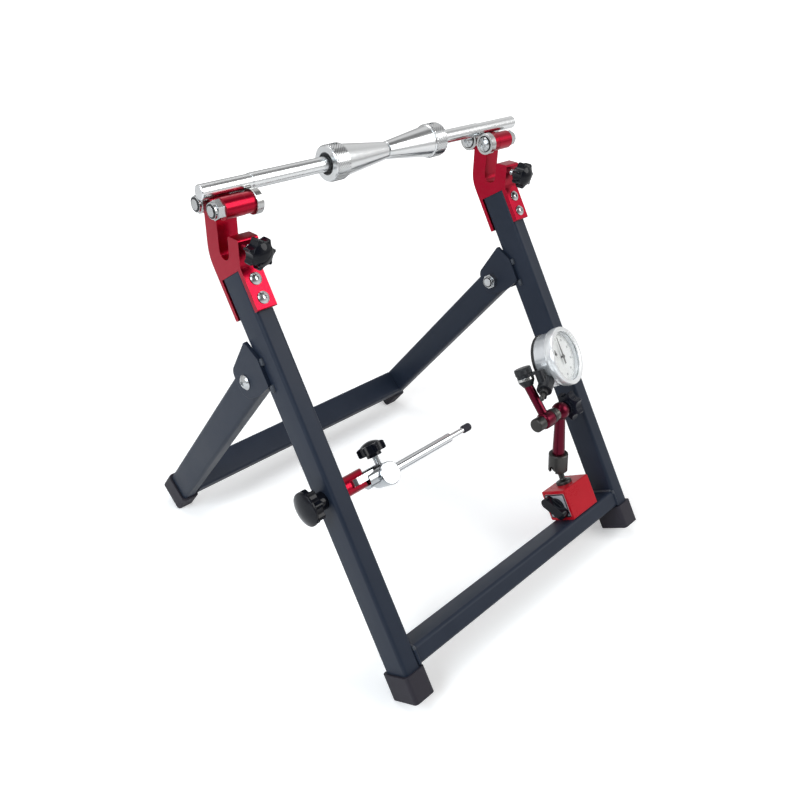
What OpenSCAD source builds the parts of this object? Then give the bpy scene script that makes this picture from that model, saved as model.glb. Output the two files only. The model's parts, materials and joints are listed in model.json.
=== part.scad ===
// Folding wheel balancing stand: two leaning front legs, a hinged rear frame, ball bearing rollers
// that carry a spindle with two centring cones, a swivelling pointer and a dial gauge on a magnet base.
// Millimetres, Z up, X along the spindle, the front towards -Y.

/* [Front frame] */
// Distance between the centre planes of the legs
leg_spacing = 300; // [280:1:380]
// Lean of the front legs from vertical, degrees
leg_lean = 33.2; // [30:0.1:36]
// Length of a front leg from the sole of its foot to its top
leg_len = 353.8; // [340:0.2:400]
// Width of the front leg tube, across the stand
leg_w = 16.5; // [15:0.1:20]
// Depth of the front leg tube, front to rear
leg_d = 27; // [24:0.1:30]
// Outer corner radius of the tubes
tube_corner = 3.2; // [2:0.1:5]
// Wall of the tubes
tube_wall = 1.5; // [1:0.1:2]
// Height of the front crossbar, measured along the legs
bar_h = 16.2; // [12:0.1:20]
// Distance from the sole of a foot to the lower face of the front crossbar
bar_rise = 23.6; // [23.5:0.1:40]

/* [Rear frame] */
// Width of the rear leg tube, across the stand
rear_w = 13.6; // [12:0.1:14.5]
// Depth of the rear leg tube
rear_d = 27.7; // [24:0.1:30]
// Length of a rear leg from the hinge pin to the sole of its foot
rear_len = 267.2; // [260:0.2:300]
// Length of the rear leg tube beyond the hinge pin
rear_over = 12; // [9:0.5:14]
// Height of the rear crossbar, measured along the legs
rear_bar_h = 16; // [12:0.1:20]
// Distance from the sole of a rear foot to the lower face of the rear crossbar
rear_bar_rise = 23.6; // [23.5:0.1:40]

/* [Feet] */
// Wall of the rubber feet
cap_wall = 2.15; // [1.5:0.05:3]
// Height of the rubber feet
cap_len = 23; // [16:0.5:23]
// Thickness of the sole of the rubber feet
cap_sole = 4; // [2:0.5:8]
// Corner radius of the rubber feet
cap_corner = 3.2; // [2.5:0.1:4.5]
// Clearance between a rubber foot and its tube
cap_clear = 0.1; // [0.05:0.05:0.2]

/* [Hinge] */
// Distance of the hinge pin from the sole, measured along the front leg
hinge_rise = 277; // [250:1:290]
// Distance of the hinge pin behind the centre line of the front leg
hinge_back = 36; // [34:0.5:42]
// Thickness of the hinge plates
plate_th = 3; // [2:0.1:4]
// Radius of the rounded end of the hinge plates
plate_r = 13.5; // [11:0.5:16]
// Height of the hinge plates above the hinge pin, measured along the leg
plate_rise = 29; // [25:0.5:33]
// Height of the rear corner of the hinge plates above the hinge pin
plate_shoulder = 12; // [9:0.5:14]
// Depth of the hinge plates below the hinge pin, where they meet the leg
plate_foot = 9; // [6:0.5:12]
// Overlap of the hinge plates on the sides of the front leg
plate_lap = 8; // [6:0.5:10]
// Diameter of the hinge bolts
hinge_bolt_d = 8; // [6:0.5:8]
// Diameter of the round heads of the hinge bolts
hinge_head_d = 12.5; // [12:0.1:15]
// Wall of the sleeve of the hinge bushes
bush_wall = 1.2; // [0.8:0.1:2]
// Diameter of the flange of the hinge bushes
bush_flange_d = 15; // [13:0.5:20]

/* [Brackets] */
// Width of the brackets, across the stand
bracket_w = 17.5; // [16:0.1:20]
// Thickness of the front plate of the fork
fork_front = 4.4; // [3:0.1:6]
// Thickness of the rear plate of the fork
fork_rear = 3.6; // [3:0.1:6]
// Length of the fork below the top of the leg
fork_len = 32.1; // [28:0.1:40]
// Width of the axle slot
slot_w = 12.6; // [10:0.1:14]
// Height of the bottom of the axle slot above the top of the leg
slot_rise = 11; // [8:0.5:14]
// Depth of the lug in front of the axle slot
lug_d = 12.7; // [10:0.1:15]
// Height of the lug above the top of the leg
lug_h = 30.9; // [28:0.1:34]
// Depth of the stem behind the axle slot
stem_d = 15.2; // [12:0.1:18]
// Distance of the front face of the stem behind the top of the leg
stem_y = 10.8; // [8:0.1:12]
// Distance of the spindle axis behind the top of the leg
head_y = 13.3; // [11:0.1:15]
// Height of the roller axes above the top of the leg
head_h = 49.2; // [46:0.1:60]
// Radius of the bosses of the bracket head
boss_r = 8; // [7:0.1:9]
// Diameter of the bracket screws
bracket_screw_d = 5; // [4:0.5:6]
// Distance of the upper bracket screw below the top of the leg
bracket_screw_top = 9.3; // [7:0.1:11]
// Distance between the two bracket screws
bracket_screw_gap = 14.5; // [12:0.1:16]

/* [Rollers] */
// Distance between the two rollers of a bracket
roller_pitch = 20; // [19.5:0.1:22]
// Outer diameter of the roller bearings
bearing_d = 19; // [16:0.1:19]
// Bore of the roller bearings
bearing_bore = 8; // [5:0.5:8]
// Width of the roller bearings
bearing_w = 6; // [5:0.1:8]
// Wall of the inner ring of the roller bearings
bearing_ring = 1.6; // [1:0.1:2]
// Length of the spacers between bracket and roller
spacer_len = 7.5; // [5:0.1:12]
// Diameter of the spacers
spacer_d = 15.6; // [12:0.1:16]
// Gap between a roller and the journal that it carries
roller_gap = 0.1; // [0.05:0.01:0.2]

/* [Spindle] */
// Diameter of the spindle between the journals
spindle_d = 12; // [10:0.1:14]
// Diameter of the journals at the ends of the spindle
journal_d = 11; // [9:0.1:11.5]
// Reach of the spindle to the left of the middle
spindle_left = 169; // [165:1:200]
// Reach of the spindle to the right of the middle
spindle_right = 178; // [165:1:200]
// Length of journal on the inner side of the rollers
journal_in = 1.6; // [1:0.1:4]

/* [Cones] */
// Distance of the outer face of the left cone from the middle
cone_left_at = 54; // [52:0.5:80]
// Distance of the outer face of the right cone from the middle
cone_right_at = 73; // [72.8:0.1:80]
// Diameter of the knurled collars
collar_d = 28; // [25:0.1:32]
// Length of the knurled collars
collar_len = 15; // [10:0.1:20]
// Wide diameter of the cones
cone_wide = 26; // [20:0.1:28]
// Narrow diameter of the cones
cone_narrow = 14.4; // [13.5:0.1:18]
// Length of the taper
cone_len = 48; // [30:0.1:48]
// Diameter of the recess in the outer face of a cone
recess_d = 17.5; // [15:0.1:20]
// Depth of the recess in the outer face of a cone
recess_depth = 5; // [1:0.5:6]
// Radial clearance between cone and spindle
cone_clear = 0.05; // [0.02:0.01:0.1]
// Diameter of the set screws in the collars
set_screw_d = 5; // [3:0.5:6]

/* [Slot clamps] */
// Height of the clamp screw above the top of the leg
clamp_rise = 23.4; // [22.5:0.1:24]
// Diameter of the clamp screw
clamp_screw_d = 6; // [5:0.1:8]
// Gap between the lug and the clamp knob
clamp_gap = 5.2; // [4.5:0.1:8]
// Diameter of the clamp knob
clamp_knob_d = 24; // [20:0.5:26]
// Height of the clamp knob
clamp_knob_h = 13; // [10:0.5:16]
// Length of the swivel pad at the tip of the clamp screw
clamp_pad_len = 4; // [3:0.1:6]

/* [Pointer] */
// Distance of the pointer's stud from the sole, measured along the leg
pointer_rise = 173.5; // [150:0.5:180]
// Diameter of the pointer's stud
stud_d = 8; // [6:0.1:9]
// Diameter of the pointer knob
pointer_knob_d = 28; // [24:0.5:34]
// Height of the pointer knob
pointer_knob_h = 20; // [17:0.5:21]
// Length of the hub of the pointer knob
pointer_hub = 8; // [5:0.5:9]
// Diameter of the clevis
clevis_d = 16; // [14:0.1:16.4]
// Distance of the clevis pin from the leg
clevis_reach = 15.8; // [14:0.1:28]
// Width of the clevis slot
clevis_slot = 6; // [4:0.1:7]
// Diameter of the clevis pin
clevis_pin_d = 4; // [3:0.1:5]
// Diameter of the link's shank
shank_d = 15; // [12:0.1:16]
// Distance from the clevis pin to the axis of the link's barrel
link_len = 28; // [25:0.5:40]
// Diameter of the link's barrel
barrel_d = 19; // [17:0.1:22]
// Length of the link's barrel
barrel_len = 20; // [18:0.1:24]
// Slope of the clevis pin and the lock screw above the horizontal, degrees
barrel_turn = 50; // [35:1:60]
// Diameter of the pointer rod
rod_d = 8; // [6:0.1:8.5]
// Length of the thick part of the pointer rod that stands out of the barrel
rod_out = 69; // [40:1:80]
// Diameter of the thin end of the pointer rod
rod_thin_d = 4.5; // [3:0.1:5.5]
// Length of the thin end of the pointer rod
rod_thin_len = 17; // [10:0.5:30]
// Length of the rubber tip
tip_len = 9; // [6:0.5:12]
// Diameter of the rubber tip
tip_d = 7; // [6:0.1:9]
// Offset of the barrel and the rod from the axis of the clevis
rod_drop = 6.5; // [4:0.1:7]
// Distance of the lock screw from the axis of the barrel, towards the leg
lock_back = 0.5; // [0:0.1:3]
// Diameter of the lock screw
lock_screw_d = 5; // [4:0.1:6]
// Diameter of the lock knob
lock_knob_d = 24.5; // [20:0.5:26]
// Height of the lock knob
lock_knob_h = 11; // [9:0.5:14]
// Bare length of the lock screw between barrel and knob
lock_gap = 7.5; // [5:0.5:10]

/* [Gauge base] */
// Distance of the gauge base from the middle of the stand
gauge_x = 97; // [60:1:100]
// Width of the gauge base, along the crossbar
base_w = 38; // [34:0.5:40]
// Depth of the gauge base
base_d = 28.7; // [26:0.1:34]
// Height of the gauge base
base_h = 30.2; // [26:0.1:36]
// Distance of the middle of the gauge base behind the middle of the crossbar
base_back = 1.65; // [0:0.05:3]
// Edge radius of the gauge base
base_edge = 1.5; // [0.5:0.1:3]
// Side of the switch plate
switch_plate_w = 24; // [20:0.5:25]
// Thickness of the switch plate
switch_plate_th = 1; // [0.5:0.1:2]
// Length of the switch handle
switch_len = 27; // [20:0.5:27]
// Width of the switch handle
switch_w = 10; // [8:0.5:14]
// Height of the switch handle
switch_h = 8; // [6:0.5:12]
// Rest angle of the switch handle, degrees
switch_angle = 45; // [30:1:60]
// Diameter of the foot of the ball stud
stud_flange_d = 15; // [12:0.5:18]
// Thickness of the foot of the ball stud
stud_flange_h = 3; // [2:0.5:5]
// Diameter of the neck of the ball stud
stud_neck_d = 5.6; // [4:0.1:6]
// Height of the ball above the gauge base
ball_rise = 18; // [16:0.5:22]
// Diameter of the ball
ball_d = 13; // [12.5:0.1:14]

/* [Gauge arms] */
// Diameter of the cup round the ball
cup_d = 18.5; // [17:0.1:20]
// Length of the cup above the middle of the ball
cup_up = 15; // [13:0.5:18]
// Length of the cup below the middle of the ball
cup_down = 4; // [3:0.1:4]
// Lean of the lower arm, forward from the gauge base's own axis, degrees
arm_lean = 26.8; // [20:0.1:28]
// Distance from the ball to the middle joint
lower_arm_len = 60.7; // [55:0.1:75]
// Diameter of the lower arm at the cup
lower_arm_wide = 12; // [10:0.1:13]
// Diameter of the lower arm at the middle joint
lower_arm_thin = 9.4; // [8:0.1:10]
// Diameter of the lower arm's ball end
arm_ball_d = 17; // [15:0.1:18]
// Diameter of the bolt through the middle joint
joint_bolt_d = 6; // [5:0.1:7]
// Diameter of the joint's knob
joint_knob_d = 28; // [24:0.5:30]
// Height of the joint's knob
joint_knob_h = 12.5; // [10:0.5:15]
// Distance between the lower and the upper arm, along the joint's bolt
arm_step = 22; // [21:0.1:24]
// Diameter of the upper arm's eye
eye_d = 15.5; // [14:0.1:17]
// Width of the upper arm's eye
eye_w = 13; // [12:0.1:14]
// Diameter of the upper arm
upper_arm_d = 8.6; // [7:0.1:9.5]
// Length of the upper arm, from the middle joint to its top cone
upper_arm_len = 35; // [32:0.1:40]
// Lean of the upper arm, backward from the gauge base's own axis, degrees
upper_lean = 10.1; // [5:0.1:15]
// Diameter of the end cap of the joint
end_cap_d = 13; // [11:0.1:15]
// Length of the end cap of the joint
end_cap_len = 9.5; // [7:0.1:12]

/* [Dial holder] */
// Wide diameter of the cone at the top of the upper arm
top_cone_d = 15; // [13:0.1:17]
// Height of the cone at the top of the upper arm
top_cone_h = 6; // [4:0.1:8]
// Diameter of the pin of the top swivel
swivel_pin_d = 5; // [4:0.1:6]
// Thickness of the holder's eye
holder_eye_h = 2.6; // [2:0.1:4]
// Thickness of the bright ring under the holder's eye
swivel_ring_h = 2.4; // [1.5:0.1:3]
// Distance of the sleeve beside the swivel
holder_side = 8.5; // [8:0.1:12]
// Distance of the sleeve in front of the swivel
holder_front = 12.1; // [12:0.1:15]
// Distance of the sleeve below the holder's eye
holder_drop = 14.5; // [13:0.1:18]
// Diameter of the knurled cap of the top swivel
swivel_cap_d = 16; // [14:0.1:18]
// Height of the knurled cap of the top swivel
swivel_cap_h = 6.5; // [5:0.1:9]
// Diameter of the holder's sleeve round the dial stem
sleeve_d = 14; // [12:0.1:15]
// Length of the holder's sleeve
sleeve_len = 13; // [11:0.1:15]
// Direction of the thumb screw round the stem, degrees
thumb_turn = 37; // [20:1:50]
// Diameter of the thumb screw's head
thumb_d = 8; // [7:0.1:8.2]

/* [Dial] */
// Turn of the dial about the leg's direction, degrees
dial_turn = 12; // [6:1:16]
// Diameter of the bezel
bezel_d = 55.5; // [52:0.5:57]
// Depth of the bezel
bezel_h = 8.5; // [7.5:0.1:10]
// Diameter of the glass
glass_d = 49; // [46:0.1:50]
// Diameter of the dial case
case_d = 50.6; // [48:0.1:51]
// Depth of the dial case behind the bezel
case_h = 12.5; // [11.5:0.1:14]
// Wall of the dial case
case_wall = 2.2; // [1.5:0.1:3]
// Diameter of the dial back
back_d = 51.6; // [50:0.1:53]
// Thickness of the dial back
back_h = 3; // [2:0.1:4]
// Direction of the dial stem below the horizontal, degrees
stem_turn = 30; // [25:1:35]
// Diameter of the dial stem
stem_tube_d = 8; // [7:0.1:8.5]
// Reach of the dial stem from the middle of the dial
stem_reach = 44; // [42:0.5:48]
// Diameter of the plunger
plunger_d = 4.4; // [3:0.1:5]
// Bare length of the plunger
plunger_out = 8.5; // [8:0.5:12]
// Distance of the holder's sleeve from the middle of the dial
sleeve_at = 33.5; // [33:0.1:36]

/* [Hidden] */
$fn = 64;

// Clearances: fixed pieces in their holes, running fits, and washers that turn face to face
fit = 0.05;
run = 0.06;
side = 0.1;

// Floor line of the front feet and the hinge pin, before the stand is centred
foot_half = leg_d / 2 + cap_wall;
foot_z = foot_half * sin(leg_lean);
hinge_y0 = hinge_rise * sin(leg_lean) + hinge_back * cos(leg_lean);
hinge_z = foot_z + hinge_rise * cos(leg_lean) - hinge_back * sin(leg_lean);

// Slope of the rear legs that puts the rear feet on the floor
rear_half = rear_d / 2 + cap_wall;
rear_reach = norm([rear_len, rear_half]);
rear_slope = asin(hinge_z / rear_reach) - atan2(rear_half, rear_len);
rear_foot_y0 = hinge_y0 + rear_len * cos(rear_slope);
rear_foot_z = hinge_z - rear_len * sin(rear_slope);

// Shift that puts the middle of the footprint on the Z axis
y_mid = (rear_foot_y0 + rear_half * sin(rear_slope) - foot_half * cos(leg_lean)) / 2;

// Points given by height along a front leg and distance behind its centre line
function leg_y(t, n) = t * sin(leg_lean) + n * cos(leg_lean) - y_mid;
function leg_z(t, n) = foot_z + t * cos(leg_lean) - n * sin(leg_lean);
function leg_pt(t, n) = [leg_y(t, n), leg_z(t, n)];
function leg_z_at(y, n) = leg_z((y + y_mid - n * cos(leg_lean)) / sin(leg_lean), n);

leg_x = leg_spacing / 2;
leg_in = leg_x - leg_w / 2;
bar_top = bar_rise + bar_h;
top_y = leg_y(leg_len, 0);
top_z = leg_z(leg_len, 0);

// Bracket outline
fork_in = leg_d / 2 + fit;
stem_front = top_y + stem_y;
stem_back = stem_front + stem_d;
lug_back = stem_front - slot_w;
lug_front = lug_back - lug_d;
lug_top = top_z + lug_h;
slot_z = top_z + slot_rise;
head_mid = top_y + head_y;
head_z = top_z + head_h;
bracket_in = leg_x - bracket_w / 2;
bracket_out = leg_x + bracket_w / 2;

// Rollers and spindle
roller_reach = journal_d / 2 + bearing_d / 2 + roller_gap;
spindle_z = head_z + sqrt(pow(roller_reach, 2) - pow(roller_pitch / 2, 2));
roller_out = bracket_in - spacer_len;
roller_in = roller_out - bearing_w;
roller_bolt_d = bearing_bore - 2 * fit;
roller_head_d = 1.6 * bearing_bore;
race_r = bearing_bore / 2 + bearing_ring;

// Slot clamps
clamp_z = top_z + clamp_rise;
clamp_back = lug_front - clamp_gap;

// Pointer
pointer_y = leg_y(pointer_rise, 0);
pointer_z = leg_z(pointer_rise, 0);
pin_x = -leg_in + clevis_reach;
barrel_x = pin_x + link_len;
rod_y = pointer_y - rod_drop * cos(barrel_turn);
rod_z = pointer_z - rod_drop * sin(barrel_turn);
rod_start = barrel_x - barrel_d / 2 + 2.6;
rod_step = barrel_x + barrel_d / 2 + rod_out;
tip_start = rod_step + rod_thin_len;
clevis_end = clevis_d / 2 + 0.5;
stud_seat = clevis_reach - clevis_end - 1;
pin_top = clevis_d / 2 - 1.2;
knob_back = leg_x + leg_w / 2 + side;

// Gauge
base_top = bar_top + base_h;
ball_t = base_top + ball_rise;
joint_t = ball_t + lower_arm_len * cos(arm_lean);
joint_n = base_back - lower_arm_len * sin(arm_lean);
upper_x = gauge_x - arm_step;
swivel_t = joint_t + upper_arm_len * cos(upper_lean);
swivel_n = joint_n + upper_arm_len * sin(upper_lean);
ring_t = swivel_t + top_cone_h;
eye_t = ring_t + swivel_ring_h + side;
cap_t = eye_t + holder_eye_h + side;
sleeve_t = eye_t + holder_eye_h / 2 - holder_drop;
stem_depth = bezel_h + case_h * 0.6;

// Colours as the photograph shows them
paint = "#23262b";
rubber = "#16171a";
red = "#a8121d";
zinc = "#c3c6c8";
bright = "#d9dcde";
black = "#0e0f11";
gunmetal = "#3a3b3d";
white = "#f2f2ee";

// Points of an arc of radius r that rounds the corner v between the points p and q
function unit(v) = v / norm(v);
function fillet(p, v, q, r, steps) =
    let (
        a = unit(p - v),
        b = unit(q - v),
        half = acos(a * b) / 2,
        c = v + unit(a + b) * r / sin(half),
        s = v + a * r / tan(half) - c,
        e = v + b * r / tan(half) - c,
        from = atan2(s[1], s[0]),
        turn = (atan2(e[1], e[0]) - from + 540) % 360 - 180
    )
    [for (i = [0:steps]) c + r * [cos(from + turn * i / steps), sin(from + turn * i / steps)]];

// Outline through corners written as [point, radius]
function round_path(corners, steps = 8) =
    let (n = len(corners))
    [for (i = [0:n - 1])
        let (v = corners[i][0], r = corners[i][1])
        each r > 0
            ? fillet(corners[(i + n - 1) % n][0], v, corners[(i + 1) % n][0], r, steps)
            : [v]];

// Places pieces in the axes of the front legs: X, depth behind the centre line, height along the leg
module on_leg(x, t, n) {
    translate([0, -y_mid, foot_z])
        rotate([-leg_lean, 0, 0])
            translate([x, n, t])
                children();
}

// Places pieces in the axes of the rear legs, from the middle of the sole upwards
module on_rear(x) {
    translate([x, rear_foot_y0 - y_mid, rear_foot_z])
        rotate([90 - rear_slope, 0, 0])
            children();
}

// Turns a shape drawn in Y and Z so that its height runs along +X
module along_x(x) {
    translate([x, 0, 0])
        rotate([90, 0, 90])
            children();
}

module both_sides() {
    children();
    mirror([1, 0, 0]) children();
}

module rounded_rect(w, d, r) {
    square([w - 2 * r, d], center = true);
    square([w, d - 2 * r], center = true);
    for (sx = [-1, 1], sy = [-1, 1])
        translate([sx * (w / 2 - r), sy * (d / 2 - r)]) circle(r);
}

module tube(w, d, len) {
    difference() {
        linear_extrude(len) rounded_rect(w, d, tube_corner);
        translate([0, 0, -1])
            linear_extrude(len + 2)
                rounded_rect(w - 2 * tube_wall, d - 2 * tube_wall, tube_corner - tube_wall / 2);
    }
}

module foot_cap(w, d) {
    difference() {
        linear_extrude(cap_len) rounded_rect(w + 2 * cap_wall, d + 2 * cap_wall, cap_corner);
        translate([0, 0, cap_sole])
            linear_extrude(cap_len)
                rounded_rect(w + 2 * cap_clear, d + 2 * cap_clear, tube_corner + cap_clear);
    }
}

module ring(outer, inner, h) {
    difference() {
        cylinder(d = outer, h = h);
        translate([0, 0, -1]) cylinder(d = inner, h = h + 2);
    }
}

module hex(width, h) {
    cylinder(d = width / cos(30), h = h, $fn = 6);
}

// Hexagon nut with the plain collar of a lock nut
module lock_nut(width, h, d) {
    difference() {
        union() {
            hex(width, h * 0.72);
            cylinder(d = width * 0.9, h = h);
        }
        translate([0, 0, -1]) cylinder(d = d + 2 * fit, h = h + 2);
    }
}

// Button head with a hexagon socket, its flat seat at the origin
module button_head(d) {
    difference() {
        intersection() {
            cylinder(d = 1.9 * d, h = 0.55 * d);
            translate([0, 0, -0.75 * d]) sphere(r = 1.3 * d);
        }
        translate([0, 0, 0.25 * d]) hex(0.6 * d, d);
    }
}

// Star knob with rounded rim and a blind hole for its stud, its seat at the origin
module star_knob(d, h, hub, lobes, hole_d, hole_depth) {
    difference() {
        union() {
            cylinder(d = d * 0.52, h = hub + 1);
            intersection() {
                rotate_extrude()
                    polygon(round_path([
                        [[0, hub], 0],
                        [[d / 2, hub], 1.5],
                        [[d / 2, h * 0.86], d * 0.07],
                        [[d * 0.22, h], d * 0.3],
                        [[0, h], 0]
                    ], 5));
                difference() {
                    cylinder(d = d, h = h);
                    for (i = [0:lobes - 1])
                        rotate([0, 0, 360 * (i + 0.5) / lobes])
                            translate([d * 0.6, 0, -1]) cylinder(r = d * 0.24, h = h + 2);
                }
            }
        }
        translate([0, 0, -1]) cylinder(d = hole_d + 2 * fit, h = hole_depth + 1);
    }
}

// Front frame

module leg_tube(x) {
    on_leg(x, cap_sole, 0) tube(leg_w, leg_d, leg_len - cap_sole);
}

module bracket_screw_holes(x, d) {
    for (i = [0, 1])
        on_leg(x, leg_len - bracket_screw_top - i * bracket_screw_gap, 0)
            rotate([90, 0, 0]) cylinder(d = d, h = 4 * leg_d, center = true);
}

module front_leg_left() {
    color(paint)
        difference() {
            leg_tube(-leg_x);
            bracket_screw_holes(-leg_x, bracket_screw_d + 2 * fit);
            translate([-leg_x, pointer_y, pointer_z])
                rotate([0, 90, 0]) cylinder(d = stud_d + 2 * run, h = 2 * leg_w, center = true);
        }
}

module front_leg_right() {
    color(paint)
        difference() {
            leg_tube(leg_x);
            bracket_screw_holes(leg_x, bracket_screw_d + 2 * fit);
        }
}

module front_crossbar() {
    color(paint)
        on_leg(0, bar_rise + bar_h / 2, 0)
            along_x(-leg_in) tube(leg_d, bar_h, 2 * leg_in);
}

module front_feet() {
    color(rubber)
        both_sides() on_leg(leg_x, 0, 0) foot_cap(leg_w, leg_d);
}

// Outline of a hinge plate, in depth and height of the leg
plate_front = leg_d / 2 - plate_lap;
plate_path = [
    [[plate_front, hinge_rise - plate_foot], 2],
    [[hinge_back - plate_r, hinge_rise - plate_r], 8],
    [[hinge_back + plate_r, hinge_rise - plate_r], plate_r * 0.9],
    [[hinge_back + plate_r, hinge_rise + plate_shoulder], plate_r * 0.6],
    [[leg_d / 2 + 1, hinge_rise + plate_rise], 1.5],
    [[plate_front, hinge_rise + plate_rise - 2 * plate_lap], 3]
];

module hinge_plate(x) {
    difference() {
        on_leg(x, 0, 0) along_x(0) linear_extrude(plate_th) polygon(round_path(plate_path));
        on_leg(x, hinge_rise, hinge_back)
            rotate([0, 90, 0]) cylinder(d = hinge_bolt_d + 2 * fit, h = 4 * plate_th, center = true);
    }
}

module hinge_plates() {
    color(paint)
        both_sides() {
            hinge_plate(leg_in - plate_th);
            hinge_plate(leg_x + leg_w / 2);
        }
}

module hinge_bolts() {
    inner = leg_in - plate_th;
    outer = leg_x + leg_w / 2 + plate_th;
    color(zinc)
        both_sides()
            on_leg(0, hinge_rise, hinge_back) {
                along_x(outer) button_head(hinge_head_d / 1.9);
                along_x(inner - hinge_bolt_d)
                    cylinder(d = hinge_bolt_d, h = outer - inner + hinge_bolt_d + 1);
                mirror([1, 0, 0]) along_x(-inner)
                    lock_nut(1.6 * hinge_bolt_d, 0.9 * hinge_bolt_d, hinge_bolt_d);
            }
}

// Roller head brackets

bracket_path = [
    [leg_pt(leg_len - fork_len, -fork_in - fork_front), 1],
    [leg_pt(leg_len - fork_len, -fork_in), 0],
    [leg_pt(leg_len, -fork_in), 0],
    [leg_pt(leg_len, fork_in), 0],
    [leg_pt(leg_len - fork_len, fork_in), 0],
    [leg_pt(leg_len - fork_len, fork_in + fork_rear), 1],
    [[stem_back, leg_z_at(stem_back, fork_in + fork_rear)], 30],
    [[stem_back, head_z - 1], 0],
    [[stem_front, head_z - 1], 0],
    [[stem_front, slot_z], slot_w / 2 - fit],
    [[lug_back, slot_z], slot_w / 2 - fit],
    [[lug_back, lug_top], 2],
    [[lug_front, lug_top], 2],
    [[lug_front, leg_z_at(lug_front, -fork_in - fork_front)], 8]
];

module at_rollers(x) {
    for (s = [-1, 1])
        translate([x, head_mid + s * roller_pitch / 2, head_z]) rotate([0, 90, 0]) children();
}

module bracket(x) {
    color(red)
        difference() {
            union() {
                along_x(x - bracket_w / 2) linear_extrude(bracket_w) polygon(round_path(bracket_path));
                at_rollers(x - bracket_w / 2) cylinder(r = boss_r, h = bracket_w);
                translate([x - bracket_w / 2, head_mid - roller_pitch / 2, head_z - boss_r])
                    cube([bracket_w, roller_pitch, boss_r]);
            }
            at_rollers(x - bracket_w) cylinder(d = bearing_bore, h = 2 * bracket_w);
            bracket_screw_holes(x, bracket_screw_d + 2 * fit);
            translate([x, lug_front - 1, clamp_z])
                rotate([-90, 0, 0]) cylinder(d = clamp_screw_d + 4 * run, h = lug_d + 2);
        }
}

module bracket_left() {
    bracket(-leg_x);
}

module bracket_right() {
    bracket(leg_x);
}

// Screws of the forks and through bolts of the rollers, with their nuts
module bracket_bolts() {
    front = fork_in + fork_front;
    rear = fork_in + fork_rear;
    color(zinc)
        both_sides() {
            for (i = [0, 1])
                on_leg(leg_x, leg_len - bracket_screw_top - i * bracket_screw_gap, -front)
                    rotate([90, 0, 0]) {
                        button_head(bracket_screw_d);
                        translate([0, 0, -front - rear - 1.1 * bracket_screw_d])
                            cylinder(d = bracket_screw_d, h = front + rear + 1.1 * bracket_screw_d + 0.5);
                        translate([0, 0, -front - rear])
                            mirror([0, 0, 1])
                                lock_nut(1.5 * bracket_screw_d, 0.8 * bracket_screw_d, bracket_screw_d);
                    }
            at_rollers(roller_in) mirror([0, 0, 1]) button_head(roller_head_d / 1.9);
            at_rollers(roller_in - 1)
                cylinder(d = roller_bolt_d, h = bracket_out - roller_in + 1.1 * bearing_bore + 1);
            at_rollers(bracket_out) lock_nut(1.625 * bearing_bore, bearing_bore, roller_bolt_d);
        }
}

module roller_spacers() {
    color(red)
        both_sides() at_rollers(roller_out) ring(spacer_d, bearing_bore, spacer_len);
}

// Inner rings of the roller bearings
module roller_cores() {
    color(zinc)
        both_sides() at_rollers(roller_in) ring(2 * race_r, bearing_bore, bearing_w);
}

// Outer ring of a roller bearing with its recessed shields
module roller(side_x, s) {
    rim = 2.2;
    dip = 0.5;
    color(bright)
        translate([side_x < 0 ? -roller_out : roller_in, head_mid + s * roller_pitch / 2, head_z])
            rotate([0, 90, 0])
                rotate_extrude()
                    polygon([
                        [race_r + run, dip],
                        [bearing_d / 2 - rim, dip],
                        [bearing_d / 2 - rim, 0],
                        [bearing_d / 2 - 0.3, 0],
                        [bearing_d / 2, 0.3],
                        [bearing_d / 2, bearing_w - 0.3],
                        [bearing_d / 2 - 0.3, bearing_w],
                        [bearing_d / 2 - rim, bearing_w],
                        [bearing_d / 2 - rim, bearing_w - dip],
                        [race_r + run, bearing_w - dip]
                    ]);
}

module roller_left_front() {
    roller(-1, -1);
}

module roller_left_rear() {
    roller(-1, 1);
}

module roller_right_front() {
    roller(1, -1);
}

module roller_right_rear() {
    roller(1, 1);
}

// Rear frame

hinge_bush_d = hinge_bolt_d + 2 * run + 2 * bush_wall;

module rear_leg(x) {
    color(paint)
        on_rear(x)
            difference() {
                translate([0, 0, cap_sole]) tube(rear_w, rear_d, rear_len + rear_over - cap_sole);
                translate([0, 0, rear_len])
                    rotate([0, 90, 0]) cylinder(d = hinge_bush_d + 2 * fit, h = 2 * rear_w, center = true);
            }
}

module rear_leg_left() {
    rear_leg(-leg_x);
}

module rear_leg_right() {
    rear_leg(leg_x);
}

module rear_crossbar() {
    half = leg_x - rear_w / 2;
    color(paint)
        on_rear(0)
            translate([0, 0, rear_bar_rise + rear_bar_h / 2])
                along_x(-half) tube(rear_d, rear_bar_h, 2 * half);
}

module rear_feet() {
    color(rubber)
        both_sides() on_rear(leg_x) foot_cap(rear_w, rear_d);
}

// Flanged bushes that centre the rear legs between the hinge plates
module hinge_bushes() {
    flange = (leg_w - rear_w) / 2 - side;
    color(black)
        both_sides()
            on_rear(leg_x)
                translate([0, 0, rear_len])
                    for (s = [0, 1])
                        mirror([s, 0, 0])
                            along_x(rear_w / 2) {
                                ring(bush_flange_d, hinge_bolt_d + 2 * run, flange);
                                translate([0, 0, -2 * tube_wall])
                                    ring(hinge_bush_d, hinge_bolt_d + 2 * run, 2 * tube_wall);
                            }
}

// Spindle and cones

module at_spindle(x) {
    translate([x, head_mid, spindle_z]) rotate([0, 90, 0]) children();
}

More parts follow.
